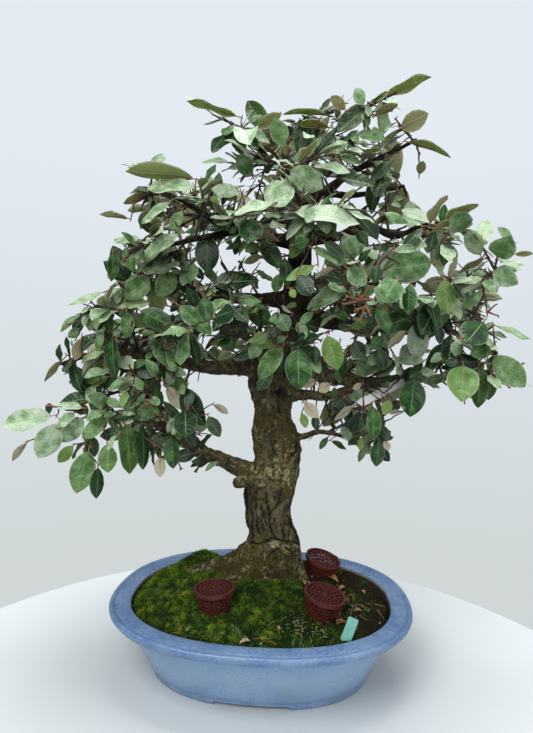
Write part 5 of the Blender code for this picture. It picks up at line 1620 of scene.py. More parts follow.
# How a shoot's stems and leaves grow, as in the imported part
CROWN_AXIS = Vector((45.0, 18.0, 0.0))
STEM_RADII = ((2.5, 1.8), (2.1, 1.7))
SKIN_RADII = ((1.9, 1.1), (1.5, 1.0))
STEM_GAP = 0.4
LEAF_STATIONS = ((0.36, 0.96, 2.2), (0.7, 0.88, 1.5))
LEAF_DROOP = 0.13
SMALL_LEAF = 44.0
Stem = tuple[Vector, Vector]


def from_axis(place: Vector) -> Vector:
    """Returns the level line from the crown's upright axis to a place."""
    return Vector((place.x, place.y, 0.0)) - CROWN_AXIS


def guard_tube(stem: Stem, radii: tuple[float, float], grow: float) -> BVHTree:
    """Returns a search tree of a stem as a three-sided tube, larger by grow all round."""
    start, end = stem
    along = (end - start).normalized() * grow
    return tree_of(tube([(*(start - along), radii[0] + grow), (*(end + along), radii[1] + grow)], 3))


def first_stem(wood: BVHTree, base: Vector, tip: Vector) -> Stem:
    """Returns the stem that starts just clear of the first bark met from tip to base."""
    hit = wood.ray_cast(tip, (base - tip).normalized(), (base - tip).length + 3.0)[0]
    hit = wood.find_nearest(base)[0] if hit is None else hit
    for attempt in range(40):
        stem = (hit + (tip - hit).normalized() * 0.4 * (attempt + 1), tip)
        if not guard_tube(stem, STEM_RADII[0], STEM_GAP - 0.1).overlap(wood):
            break
    return stem


def side_stem(wood: BVHTree, name: str, first: Stem, tip: Vector) -> Stem:
    """Returns a stem from a fork on the first one to near the tip, clear of the wood."""
    for attempt in range(40):
        fork = first[0].lerp(first[1], 0.25 + 0.5 * attempt / 40)
        stem = (fork, tip + stray(random.Random(f"{name} fork {attempt}")) * attempt)
        if not guard_tube(stem, STEM_RADII[1], STEM_GAP).overlap(wood):
            break
    return stem


@dataclass
class Leaf:
    """One leaf: where it grows, how it lies, and how it looks."""

    base: Vector
    direction: Vector
    face: Vector
    length: float
    pale_and_lit: float = 0.5
    tone: float = 0.5
    yellow_and_backlit: float = 0.0
    width: float = 1.0
    grown: float = 1.0
    fold: float = 0.1
    droop: float = LEAF_DROOP
    wave: float = 0.03
    twist: float = 0.0
    phase: float = 0.0

    profile = (
        (0.0, 0.02), (0.05, 0.27), (0.12, 0.52), (0.21, 0.76), (0.32, 0.92), (0.44, 0.995), (0.56, 0.985),
        (0.67, 0.90), (0.77, 0.75), (0.855, 0.555), (0.92, 0.345), (0.965, 0.16), (0.99, 0.05), (1.0, 0.008),
    )
    lanes = (-1.0, -0.66, -0.3, 0.0, 0.3, 0.66, 1.0)
    few_lanes = (-1.0, -0.5, 0.0, 0.5, 1.0)
    stalk = ((-0.012, 0.95, 0.0), (0.06, 0.8, 0.0), (0.14, 0.7, 0.35), (0.4, 0.42, 0.3), (0.66, 0.22, 0.2))
    stalk_share = 0.1
    half_thick = 0.16

    def at(self, share: float, droop: float = LEAF_DROOP) -> Vector:
        """Returns a place along the leaf's arching middle line."""
        drop = self.face * (self.length * droop * share * max(share, 0.0))
        return self.base + self.direction * (self.length * share) - drop

    def spot(self, share: float = 0.5) -> Vector:
        """Returns a place on the straight line from the leaf's foot to its tip."""
        return self.base.lerp(self.at(1.0), share)

    def guard(self, grow: float) -> BVHTree:
        """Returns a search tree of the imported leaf's plain shape, larger by grow all round."""
        across = self.direction.cross(self.face)
        points = [self.base - self.direction * (0.6 + grow)]
        for share, width, keel in LEAF_STATIONS:
            middle = self.at(share)
            reach = self.length * 0.25 * width + grow
            points += [middle + across * side + self.face * grow for side in (-reach, reach)]
            points.append(middle - self.face * (keel + grow))
        points.append(self.at(1.0) + self.direction * 2 * grow)
        faces = [[2, 1, 0], [3, 2, 0], [1, 3, 0], [4, 5, 7], [5, 6, 7], [6, 4, 7]]
        for left, right in ((1, 2), (2, 3), (3, 1)):
            faces += [[left, right, left + 3], [right, right + 3, left + 3]]
        return tree_of((points, faces))

    def grow_looks(self, chance: random.Random) -> None:
        """Chooses how this leaf bends and how pale, bluish or yellow it is, with painted light in its
        paleness.
        """
        outer = from_axis(self.base).length / 300.0
        high = smoothstep(330.0, 700.0, self.base.z)
        # Painted light: leaves that face up, stand far out or high up are paler.
        lit = 0.62 * smoothstep(0.1, 0.9, self.face.z) + 0.22 * outer + 0.16 * high
        right = smoothstep(20.0, 180.0, self.base.x)
        if chance.random() < 0.12 + 0.85 * lit + 0.1 * right:
            # Painted light from the right: leaves there are paler; near the axis low down they are darker as
            # painted shade.
            lean = 0.38 * right - 0.2 * smoothstep(0.35, 0.1, outer) * (1.0 - high)
            self.pale_and_lit = clamped(0.28 + 0.62 * lit + 0.3 * outer + lean + chance.gauss(0.0, 0.17), 0.12)
        else:
            # Painted shade: leaves out of the light are dark.
            self.pale_and_lit = clamped(chance.gauss(0.06, 0.10), 0.0, 0.4)
        self.tone = chance.random()
        self.yellow_and_backlit = 0.6 * chance.random() ** 6
        self.width = chance.uniform(0.84, 1.06)
        self.grown = chance.uniform(0.76, 1.0) if self.length > 45.0 else 1.0
        self.fold = chance.uniform(-0.1, 0.5)
        self.droop = LEAF_DROOP * chance.uniform(0.4, 1.7)
        self.wave = chance.uniform(0.012, 0.055)
        self.twist = chance.gauss(0.0, 0.4)
        self.phase = chance.uniform(0.0, math.tau)

    def add_to(self, piece: Piece) -> None:
        """Adds the leaf to a piece whose finishes are leaf top, underside and twig."""
        self.length *= self.grown
        small = self.length < SMALL_LEAF
        profile = self.profile[:-1:2] + self.profile[-1:] if small else self.profile
        self.add_blade(piece, profile, self.few_lanes if small else self.lanes)
        rows = []
        for share, radius, drop in self.stalk[:: 2 if small else 1]:
            rows.append((*(self.at(share, self.droop) - self.face * drop), radius))
        piece.add(*tube(rows, 4), 2, look=(0.12 * self.tone, 0.35 + 0.5 * self.pale_and_lit, 0.0))

    def add_blade(self, piece: Piece, profile: tuple, lanes: tuple) -> None:
        """Adds the blade's upper and lower faces, which share their rim.

        Args:
            piece: The piece that they go into.
            profile: Places along the blade, and how wide it is there.
            lanes: Places across the blade, from -1 to 1.
        """
        across = self.direction.cross(self.face)
        last, count = len(profile) - 1, len(lanes)
        tops, lows, blades, low_blades, below = [], [], [], [], []
        for number, (run, wide) in enumerate(profile):
            middle = self.at(self.stalk_share + (1.0 - self.stalk_share) * run, self.droop)
            turn = self.twist * (run - 0.3)
            side, through = turned(across, self.face, turn), turned(self.face, -across, turn)
            half = self.length * 0.25 * self.width * wide
            for lane in lanes:
                ripple = math.sin(self.phase + 9.5 * run + (1.7 if lane > 0 else 0.0)) * self.wave
                lift = self.fold * half * abs(lane) ** 1.3 - 0.10 * half * lane * lane
                lift += ripple * self.length * lane * lane * min(wide * 1.5, 1.0)
                point = middle + side * (half * lane) + through * lift
                blades.append((run, lane, 0.0))
                if abs(lane) < 1.0 and 0 < number < last:
                    below.append(len(profile) * count + len(lows))
                    tops.append(point + through * self.half_thick)
                    lows.append(point - through * self.half_thick)
                    low_blades.append(blades[-1])
                else:
                    below.append(len(tops))
                    tops.append(point)
        upper, lower = [], []
        for number, lane in itertools.product(range(last), range(count - 1)):
            corner = number * count + lane
            ahead = corner + count
            for face in ((corner, corner + 1, ahead + 1), (corner, ahead + 1, ahead)):
                upper.append(face)
                lower.append([below[index] for index in face[::-1]])
        finish = [0] * len(upper) + [1] * len(lower)
        look = (self.pale_and_lit, self.tone, self.yellow_and_backlit)
        piece.add(tops + lows, upper + lower, finish, blade=blades + low_blades, look=look)


@dataclass
class Crown:
    """Every shoot: its stems, its buds and its leaves."""

    wood: BVHTree
    cells: dict = field(default_factory=dict)
    cell_size: float = 60.0
    shown: list = field(default_factory=list)
    young: dict = field(default_factory=dict)

    def new_leaf(self, stem: Stem, share: float, turn: float, length: float, chance: random.Random) -> Leaf:
        """Returns a leaf that grows on a stem.

        Args:
            stem: The stem's two ends.
            share: How far along it the leaf grows.
            turn: How far round it the leaf grows.
            length: How long the leaf is.
            chance: Where its chance values come from.

        Returns:
            The leaf, turned outwards and towards the light.
        """
        base = stem[0].lerp(stem[1], share)
        along = (stem[1] - stem[0]).normalized()
        radial = turned(*sides_of(along), turn)
        outward = from_axis(base).normalized()
        lean = chance.uniform(0.25, 0.9) if share < 0.99 else 2.0
        high = base.z > 560.0
        droop = chance.uniform(*((-0.4, 0.5) if high else (0.0, 1.1)))
        direction = (along * lean + radial * 0.85 + outward * 0.35 - UP * droop).normalized()
        lit = Vector((0.0, -1.0 if base.y < 70.0 else 1.0, 0.0))
        face = UP * (1.1 if high else 0.6) + lit * 0.75 + outward * 0.25 + stray(chance) * 0.5
        return Leaf(base, direction, square_to(face, direction), length)

    def touches(self, leaf: Leaf, grow: float, bark: bool = True) -> bool:
        """Returns whether a leaf, larger by grow, meets one kept before it, or the bark."""
        guard = leaf.guard(grow)
        if bark and guard.overlap(self.wood):
            return True
        x, y, z = (math.floor(value / self.cell_size) for value in leaf.spot())
        for dx, dy, dz in itertools.product((-1, 0, 1), repeat=3):
            if any(guard.overlap(tree) for tree in self.cells.get((x + dx, y + dy, z + dz), ())):
                return True
        return False

    def keep(self, leaf: Leaf) -> None:
        """Remembers a leaf, so that later ones stay clear of it."""
        cell = tuple(math.floor(value / self.cell_size) for value in leaf.spot())
        self.cells.setdefault(cell, []).append(leaf.guard(0.0))

    def hides_shown(self, leaf: Leaf) -> bool:
        """Returns whether a leaf would stand before one that shows in the view."""
        across, down, _ = VIEW.shown_at(leaf.spot())
        eye, guard = Vector(VIEW.eye), None
        for middle_x, middle_y, reach, marks in self.shown:
            if math.hypot(across - middle_x, down - middle_y) > reach + 26.0:
                continue
            guard = guard or leaf.guard(0.0)
            if any(guard.ray_cast(eye, mark - eye, (mark - eye).length)[0] is not None for mark in marks):
                return True
        return False

    def shown_leaf(self, row: tuple, depth: float) -> Leaf:
        """Returns a leaf that shows as the row says, with its foot at a depth."""
        foot_x, foot_y, tip_x, tip_y, wide, shade, yellow_and_backlit = row
        run = math.hypot(tip_x - foot_x, tip_y - foot_y)
        length = max(run, wide / 0.6)
        base = VIEW.place(foot_x, foot_y, depth)
        tip = VIEW.place(tip_x, tip_y, depth - max(0.12 * run, 1.36 * math.sqrt(length**2 - run**2)))
        direction = (tip - base).normalized()
        face = square_to((Vector(VIEW.eye) - base).normalized(), direction)
        share = wide / (0.5 * length)
        turn = math.acos(min(share, 1.0))
        side = direction.cross(face)
        side = side if side.z > 0.0 else -side
        face = turned(face if shade >= 0.0 else -face, side, turn)
        leaf = Leaf(base, direction, face, (tip - base).length)
        leaf.grow_looks(random.Random(f"shown {foot_x} {foot_y}"))
        # The row's paleness and yellowing carry painted light: lit leaves and backlit undersides.
        leaf.pale_and_lit, leaf.yellow_and_backlit, leaf.grown = abs(shade), yellow_and_backlit, 1.0
        leaf.tone = 0.3 * leaf.tone if shade >= 0.0 else -shade
        leaf.width = clamped(share, 0.92, 1.3)
        leaf.fold = min(leaf.fold, 0.3)
        leaf.droop *= 0.7
        leaf.wave *= 0.6
        leaf.twist *= 0.5
        return leaf

    def grow_shown(self, stems_of: dict[str, list[Stem]]) -> dict[str, list]:
        """Grows the leaves that stand out in the view, and the twigs that bear them.

        Args:
            stems_of: Each shoot's stems, by its name.

        Returns:
            The leaves and their twigs, by the name of the shoot that bears them.
        """
        feet = []
        for name, stems in stems_of.items():
            for (start, end), step in itertools.product(stems, range(7)):
                foot = start.lerp(end, step / 6.0)
                feet.append((name, foot, VIEW.shown_at(foot)))

        def nearest(x: float, y: float) -> tuple[str, Vector, tuple]:
            """Returns the place on a stem that shows nearest to a point, the front ones first."""
            return min(feet, key=lambda foot: math.hypot(foot[2][0] - x, foot[2][1] - y) + 0.14 * foot[2][2])

        top, point = Vector(PaperTag.top), Vector(PaperTag.point)
        grid = itertools.product(range(1, 24), (-3.5, 0.0, 3.5))
        marks = [top.lerp(point, 0.04 * step) + UP * side for step, side in grid]
        self.shown.append((*VIEW.shown_at(top.lerp(point, 0.5))[:2], 34.0, marks))
        made = {name: [] for name in stems_of}
        for row in SHOWN_LEAVES:
            name, foot, at = nearest(*row[:2])
            for step in range(10):
                leaf = self.shown_leaf(row, at[2] - 2.0 - 6.0 * step)
                if not self.touches(leaf, 0.5):
                    break
            self.keep(leaf)
            across = leaf.direction.cross(leaf.face) * leaf.length * 0.16
            marks = []
            for share, wide in ((0.2, 0.7), (0.4, 1.0), (0.62, 1.0), (0.84, 0.6)):
                marks += [leaf.spot(share) + across * side for side in (0.0, wide, -wide)]
            half = 0.5 * math.hypot(row[0] - row[2], row[1] - row[3])
            self.shown.append((*VIEW.shown_at(leaf.spot())[:2], half, marks))
            made[name].append((leaf, foot))
        for foot_x, foot_y, tip_x, tip_y in YOUNG_SHOOTS:
            name, foot, at = nearest(foot_x, foot_y)
            base = VIEW.place(foot_x, foot_y, at[2] - 22.0)
            self.young.setdefault(name, []).append((foot, base, VIEW.place(tip_x, tip_y, at[2] - 30.0)))
        return made

    def packed_leaves(self, name: str, stems: list[Stem]) -> list[Leaf]:
        """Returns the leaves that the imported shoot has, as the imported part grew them."""
        tips = tree_of(packed_shape(f"shoot_{name}"))
        leaves = []
        for number, stem in enumerate(stems):
            count = max(2, round(1.0 + (stem[1] - stem[0]).length / 15.0))
            for index in range(count):
                for attempt in range(14):
                    chance = random.Random(f"{name} {number} {index} {attempt}")
                    length = 48.0 + 28.0 * chance.random() ** 1.6
                    turn = GOLDEN_ANGLE * index + number + chance.uniform(-0.6, 0.6)
                    leaf = self.new_leaf(stem, 0.3 + 0.7 * index / (count - 1), turn, length, chance)
                    if tips.find_nearest(leaf.at(1.0))[3] < 0.25:
                        leaf.grow_looks(chance)
                        leaves.append(leaf)
                        break
        return leaves

    def small_leaves(self, name: str, stem: Stem, count: int, sizes: tuple, tries: int = 7) -> list[Leaf]:
        """Returns smaller leaves on a stem, each clear of what has grown before.

        Args:
            name: What their chance values come from.
            stem: The stem's two ends.
            count: How many to grow at most.
            sizes: The least and the greatest length.
            tries: How often each may look for a free place.

        Returns:
            The leaves that found a place.
        """
        leaves = []
        for index in range(count):
            for attempt in range(tries):
                chance = random.Random(f"{name} small {index} {attempt}")
                length, share = chance.uniform(*sizes), chance.uniform(0.2, 0.97)
                leaf = self.new_leaf(stem, share, chance.uniform(0.0, math.tau), length, chance)
                if self.touches(leaf, 0.3) or self.hides_shown(leaf) or not in_crown(leaf.spot(0.8)):
                    continue
                leaf.grow_looks(chance)
                # Painted shade: smaller leaves inside are a little darker.
                leaf.pale_and_lit *= 0.88
                leaves.append(leaf)
                self.keep(leaf)
                break
        return leaves

    def add_stem(
        self, piece: Piece, stem: Stem, radii: tuple, age: float, name: str, root: float = 3.5
    ) -> None:
        """Adds one stem, crooked a little at its nodes, with a bud at its tip.

        Args:
            piece: The piece that it goes into.
            stem: Its two ends.
            radii: Its radius at each end.
            age: How dark its foot is, from 0 to 1 or more.
            name: What its chance values come from.
            root: How far it reaches into the wood that bears it.
        """
        chance = random.Random(f"{name} skin")
        start, end = stem
        length = (end - start).length
        along = (end - start).normalized()
        side, other = sides_of(along)
        count = max(3, math.ceil(length / 7.0))
        bend = (chance.gauss(0, 0.01) * length, chance.gauss(0, 0.01) * length)
        kink = chance.uniform(0.3, 0.9)
        rows = [(*(start - along * root), radii[0] * 1.3)]
        for number in range(count + 1):
            share = number / count
            wander = math.sin(math.pi * share)
            crook = kink * wander * (1.0 if number % 2 else -1.0)
            middle = start.lerp(end, share) + side * (bend[0] * wander + crook) + other * (bend[1] * wander)
            swell = 1.0 + 0.2 * (number % 2)
            rows.append((*middle, (radii[0] + (radii[1] - radii[0]) * share) * swell))
        rows += [(*(end + along * 1.6), radii[1] * 1.15), (*(end + along * 4.6), radii[1] * 0.3)]
        looks = []
        for number in range(len(rows)):
            share = number / (len(rows) - 1)
            looks += [(max(age - 1.3 * share**1.6, 0.0), chance.random() * 0.4, 0.0)] * 5
        piece.add(*tube(rows, 5, 0.12, 3.0), 2, look=looks)
        if radii[1] > 0.7:
            self.add_buds(piece, end + along * 1.5, along, chance)

    def add_buds(self, piece: Piece, place: Vector, along: Vector, chance: random.Random) -> None:
        """Adds a few rusty bud scales, where leaves grow."""
        for _ in range(chance.choice((1, 2, 4))):
            spread = Vector([chance.gauss(0.0, 0.6) for _ in range(3)])
            toward = (along + spread).normalized() * chance.uniform(2.5, 5.5)
            rows = [(*place, 0.7), (*(place + toward * 0.5), 1.0), (*(place + toward), 0.2)]
            piece.add(*tube(rows, 3), 2, look=(0.3 * chance.random(), 0.3 * chance.random(), 0.0))

    def twiglets(self, name: str) -> list[tuple[str, Stem, float]]:
        """Returns short dark twigs along a limb, as (name, stem, radius)."""
        made = []
        curve = smooth_route(LIMBS[name], 4.0)
        lengths = np.concatenate([[0.0], np.cumsum(np.linalg.norm(np.diff(curve[:, :3], axis=0), axis=1))])
        chance = random.Random(f"{name} twigs")
        run = max(38.0, 0.22 * lengths[-1])
        while run < lengths[-1]:
            row = curve[int(np.searchsorted(lengths, run))]
            base = Vector(row[:3])
            direction = (stray(chance) + from_axis(base).normalized() * 0.45 + UP * 0.3).normalized()
            start = base + direction * row[3] * 0.8
            end = start + direction * chance.uniform(22.0, 66.0)
            radius = chance.uniform(1.0, 1.9)
            run += chance.uniform(7.0, 15.0)
            if not in_crown(end):
                continue
            made.append((f"{name} {len(made)}", (start, end), radius))
            for _ in range(chance.choice((1, 2, 2, 3))):
                fork = start.lerp(end, chance.uniform(0.3, 0.8))
                side = (direction * 0.6 + stray(chance)).normalized()
                far = fork + side * chance.uniform(10.0, 32.0)
                if in_crown(far):
                    made.append((f"{name} {len(made)}", (fork, far), radius * 0.7))
        return made

    def shortened(self, stem: Stem, feet: list[Vector]) -> Stem:
        """Returns the stem, cut back to the crown's outline or to the last thing that grows on it."""
        start, end = stem
        along = end - start
        share, needed = 1.0, 0.25
        for foot in feet:
            reach = (foot - start).dot(along) / along.length_squared
            if (foot - start - along * reach).length < 3.0 and reach <= 1.01:
                needed = max(needed, reach)
        while share > needed and not in_crown(start.lerp(end, share), 3.0):
            share = max(share - 0.05, needed)
        return start, start.lerp(end, share)

    def build(self) -> None:
        """Builds one piece for each packed shoot, then the limbs' own twigs."""
        finishes = [LeafTop().material(), LeafUnderside().material(), Twig().material()]
        stems_of = {}
        for name, (base, tips) in SHOOTS.items():
            first = first_stem(self.wood, Vector(base), Vector(tips[0]))
            stems_of[name] = [first]
            for number, tip in enumerate(tips[1:]):
                stems_of[name].append(side_stem(self.wood, f"{name} {number}", first, Vector(tip)))
        shown = self.grow_shown(stems_of)
        grown = {}
        for name, stems in stems_of.items():
            grown[name] = []
            for leaf in self.packed_leaves(name, stems):
                hidden = self.touches(leaf, 0.0, bark=False) or self.hides_shown(leaf)
                if not hidden and in_crown(leaf.spot(0.7), 5.0):
                    grown[name].append(leaf)
            for leaf in grown[name]:
                self.keep(leaf)
        kept = sum(len(leaves) for leaves in grown.values())
        LOG.info("packed leaves kept: %d, shown ones: %d", kept, len(SHOWN_LEAVES))
        for name, stems in stems_of.items():
            piece = Piece(f"leafy_{name}", Slot.LEAF, *finishes)
            self.build_shoot(piece, name, stems, grown[name], shown[name])
            piece.make(f"shoot_{name}", sharp=80)
        self.build_twiglets(finishes)

    def build_shoot(
        self, piece: Piece, name: str, stems: list[Stem], grown: list[Leaf], shown: list
    ) -> None:
        """Adds one shoot's stems and leaves to its piece.

        Args:
            piece: The piece that it goes into.
            name: The shoot's name.
            stems: Its stems.
            grown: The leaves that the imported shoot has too.
            shown: The leaves that stand out in the view, each with its foot on a stem.
        """
        for number, stem in enumerate(stems):
            stem = self.shortened(stem, [leaf.base for leaf in grown] + [foot for _, foot in shown])
            self.add_stem(piece, stem, SKIN_RADII[min(number, 1)], 1.15, f"{name} {number}")
            grown += self.small_leaves(f"{name} {number}", stem, 9 if stem[1].y > 60.0 else 6, (24.0, 43.9))
        for leaf, foot in shown:
            if (leaf.base - foot).length > 2.5:
                self.add_stem(piece, (foot, leaf.base), (1.0, 0.65), 1.4, f"{name} {leaf.base.x:.1f}", 2.0)
            leaf.add_to(piece)
        for leaf in grown:
            leaf.add_to(piece)
        for foot, base, tip in self.young.get(name, ()):
            self.add_stem(piece, (foot, base), (1.0, 0.8), 1.2, f"{name} young", 2.0)
            self.add_stem(piece, (base, tip), (1.3, 0.9), 0.0, f"{name} {tip.x:.1f}", 1.0)

    def build_twiglets(self, finishes: list[Material]) -> None:
        """Builds each limb's short twigs and the small leaves on them."""
        for limb in LIMBS:
            piece = Piece(f"twigs_{limb}", Slot.LEAF, *finishes)
            for name, stem, radius in self.twiglets(limb):
                self.add_stem(piece, stem, (radius, radius * 0.6), 1.5, name, 1.0)
                for leaf in self.small_leaves(name, stem, int(radius * 10.0) % 3, (17.0, 36.0), 6):
                    leaf.add_to(piece)
            piece.make("trunk", sharp=80)


@dataclass
class Basket:
    """A fertiliser basket: a cup of woven slots and a lattice lid."""

    place: BasketPlace
    high: float = 26.0
    bottom: float = 18.0
    top: float = 24.5
    wall: float = 1.3
    columns: int = 26
    levels: tuple = (0.0, 4.6, 9.0, 13.4, 17.8, 22.2, 26.0)
    lid_radius: float = 25.6
    lid_rings: tuple = (2.8, 7.8, 13.0, 18.3, 23.6)
    lid_spokes: tuple = (7, 12, 17, 22)
    tab: tuple = ((24.6, -3.4), (27.6, -3.0), (28.1, -1.6), (28.1, 1.6), (27.6, 3.0), (24.6, 3.4))

    def build(self, plastic: Material, shaded: Material) -> None:
        """Builds the cup and the lid, and dresses them in moulded plastic, with painted shade inside the
        cup.
        """
        self.build_cup(plastic, shaded)
        self.build_lid(plastic)

    def add(self, piece: Piece, shape: Shape) -> None:
        """Adds a shape to a piece at the basket's place."""
        matrix = self.place.matrix()
        piece.add([matrix @ Vector(point) for point in shape[0]], shape[1])

    def ring(self, low: float, high: float, radii: tuple[float, float], depth: float) -> Shape:
        """Returns a solid ring between two heights, with its outer radius at each."""
        loops = []
        for end, inset in ((0, depth), (0, 0.0), (1, 0.0), (1, depth)):
            loops.append([Vector((x, y, (low, high)[end])) for x, y in circle(radii[end] - inset, 96)])
        return loft(loops, closed=True)

    def cup_ring(self, low: float, high: float, depth: float) -> Shape:
        """Returns a solid ring that follows the cup's slope."""
        return self.ring(low, high, (self.outer(low), self.outer(high)), depth)

    def upright(self, angle: float, low: float, high: float) -> Shape:
        """Returns a short upright bar between two rings."""
        loops = []
        toward = Vector((math.cos(angle), math.sin(angle), 0.0))
        side = Vector((-toward.y, toward.x, 0.0))
        for height in (low, high):
            out, back = self.outer(height) - 0.12, self.outer(height) - self.wall
            corners = ((out, -1.0), (out, 1.0), (back, 1.0), (back, -1.0))
            loops.append([toward * radius + side * half + UP * height for radius, half in corners])
        return loft(loops)

    def outer(self, height: float) -> float:
        """Returns the cup's outer radius at a height."""
        return self.bottom + (self.top - self.bottom) * height / self.high

    def build_cup(self, plastic: Material, shaded: Material) -> None:
        """Builds the cup: rings joined by staggered uprights, a floor and a rim, with painted shade on its
        inward faces and floor.
        """
        piece = Piece(f"{self.place.name}_wall", Slot.BASKET, plastic, shaded)
        for level in self.levels[1:-1]:
            self.add(piece, self.cup_ring(level - 0.75, level + 0.75, self.wall))
        self.add(piece, self.cup_ring(0.0, 1.6, 2.6))
        self.add(piece, self.ring(23.4, self.high, (self.top + 0.35, self.top + 0.35), 1.9))
        for row, (low, high) in enumerate(zip(self.levels, self.levels[1:])):
            for column in range(self.columns):
                angle = math.tau * (column + 0.5 * (row % 2)) / self.columns
                self.add(piece, self.upright(angle, low, high))
        for offset in (-12.8, -6.4, 0.0, 6.4, 12.8):
            reach = math.sqrt(17.0**2 - offset**2)
            near, far = offset - 1.0, offset + 1.0
            flat = [(-reach, near), (reach, near), (reach, far), (-reach, far)]
            self.add(piece, prism(flat, 0.1, 1.5))
            self.add(piece, prism([(y, x) for x, y in flat[::-1]], 0.1, 1.3))
        # Inward faces and the floor take near-black painted shade.
        inverse = self.place.matrix().inverted()
        for number, face in enumerate(piece.faces):
            corners = [inverse @ Vector(piece.points[corner]) for corner in face]
            middle = sum(corners, Vector()) / len(corners)
            normal = (corners[1] - corners[0]).cross(corners[2] - corners[1])
            inward = normal.x * middle.x + normal.y * middle.y < -0.5 * normal.length * middle.xy.length
            if inward or (middle.z < 2.0 and middle.xy.length < self.bottom - 0.5):
                piece.face_finish[number] = 1
        piece.make(f"{self.place.name}_cup", sharp=40)

    def build_lid(self, plastic: Material) -> None:
        """Builds the lid: rings and staggered spokes, a raised edge and a small tab."""
        piece = Piece(f"{self.place.name}_lattice", Slot.BASKET, plastic)
        low = self.high + 0.3
        for radius in self.lid_rings[:-1]:
            self.add(piece, self.ring(low + 0.2, low + 1.5, (radius + 0.45, radius + 0.45), 0.95))
        self.add(piece, self.ring(low, low + 2.0, (self.lid_radius, self.lid_radius), 2.2))
        self.add(piece, self.ring(low - 2.4, low + 0.1, (self.lid_radius, self.lid_radius), 0.5))
        for row, (inner, outer) in enumerate(zip(self.lid_rings, self.lid_rings[1:])):
            count = self.lid_spokes[row]
            for number in range(count):
                angle = math.tau * (number + 0.5 * (row % 2)) / count
                toward = Vector((math.cos(angle), math.sin(angle)))
                side = Vector((-toward.y, toward.x)) * 0.5
                flat = [toward * (inner + 0.5) - side, toward * (outer - 0.4) - side]
                flat += [toward * (outer - 0.4) + side, toward * (inner + 0.5) + side]
                self.add(piece, prism(flat, low + 0.3, low + 1.4))
        self.add(piece, prism(circle(3.0, 24), low + 0.2, low + 1.5))
        self.add(piece, prism(self.tab, low + 0.4, low + 1.6))
        piece.make(f"{self.place.name}_lid", sharp=40)


# Dead leaves: place, length, heading in degrees, tone
DEAD_LEAVES = (
    (97.0, 30.0, 24.0, 150.0, 0.85), (-6.0, -119.5, 13.0, 20.0, 0.98), (112.0, 8.0, 12.0, 40.0, 0.7),
    (60.0, -4.0, 10.0, 100.0, 0.8), (128.0, -44.0, 11.0, 200.0, 0.62), (-96.0, -40.0, 9.0, 60.0, 0.75),
    (30.0, -96.0, 9.0, 300.0, 0.9), (104.0, -70.0, 8.0, 10.0, 0.66), (140.0, 10.0, 9.0, 120.0, 0.8),
)
# Grass: place, spread, count, height, length, tone
GRASS = (
    (24.0, -108.0, 34.0, 12, 2.0, 15.0, 0.9), (100.0, -74.0, 14.0, 6, 5.0, 26.0, 0.85),
    (118.0, -20.0, 34.0, 16, 2.0, 13.0, 0.7), (-10.0, -118.0, 14.0, 14, 9.0, 5.0, 0.2),
    (-70.0, -96.0, 34.0, 10, 2.0, 9.0, 0.85), (96.0, 46.0, 4.0, 3, 26.0, 10.0, 0.25),
    (112.0, -58.0, 8.0, 5, 12.0, 7.0, 0.25), (60.0, -114.0, 16.0, 8, 7.0, 5.0, 0.2),
    (-120.0, -30.0, 26.0, 8, 3.0, 9.0, 0.5),
)
# Weeds: place, spread, count
WEEDS = ((52, -90, 18, 46), (80, -98, 12, 22), (122, -40, 16, 22), (-40, -114, 12, 12))


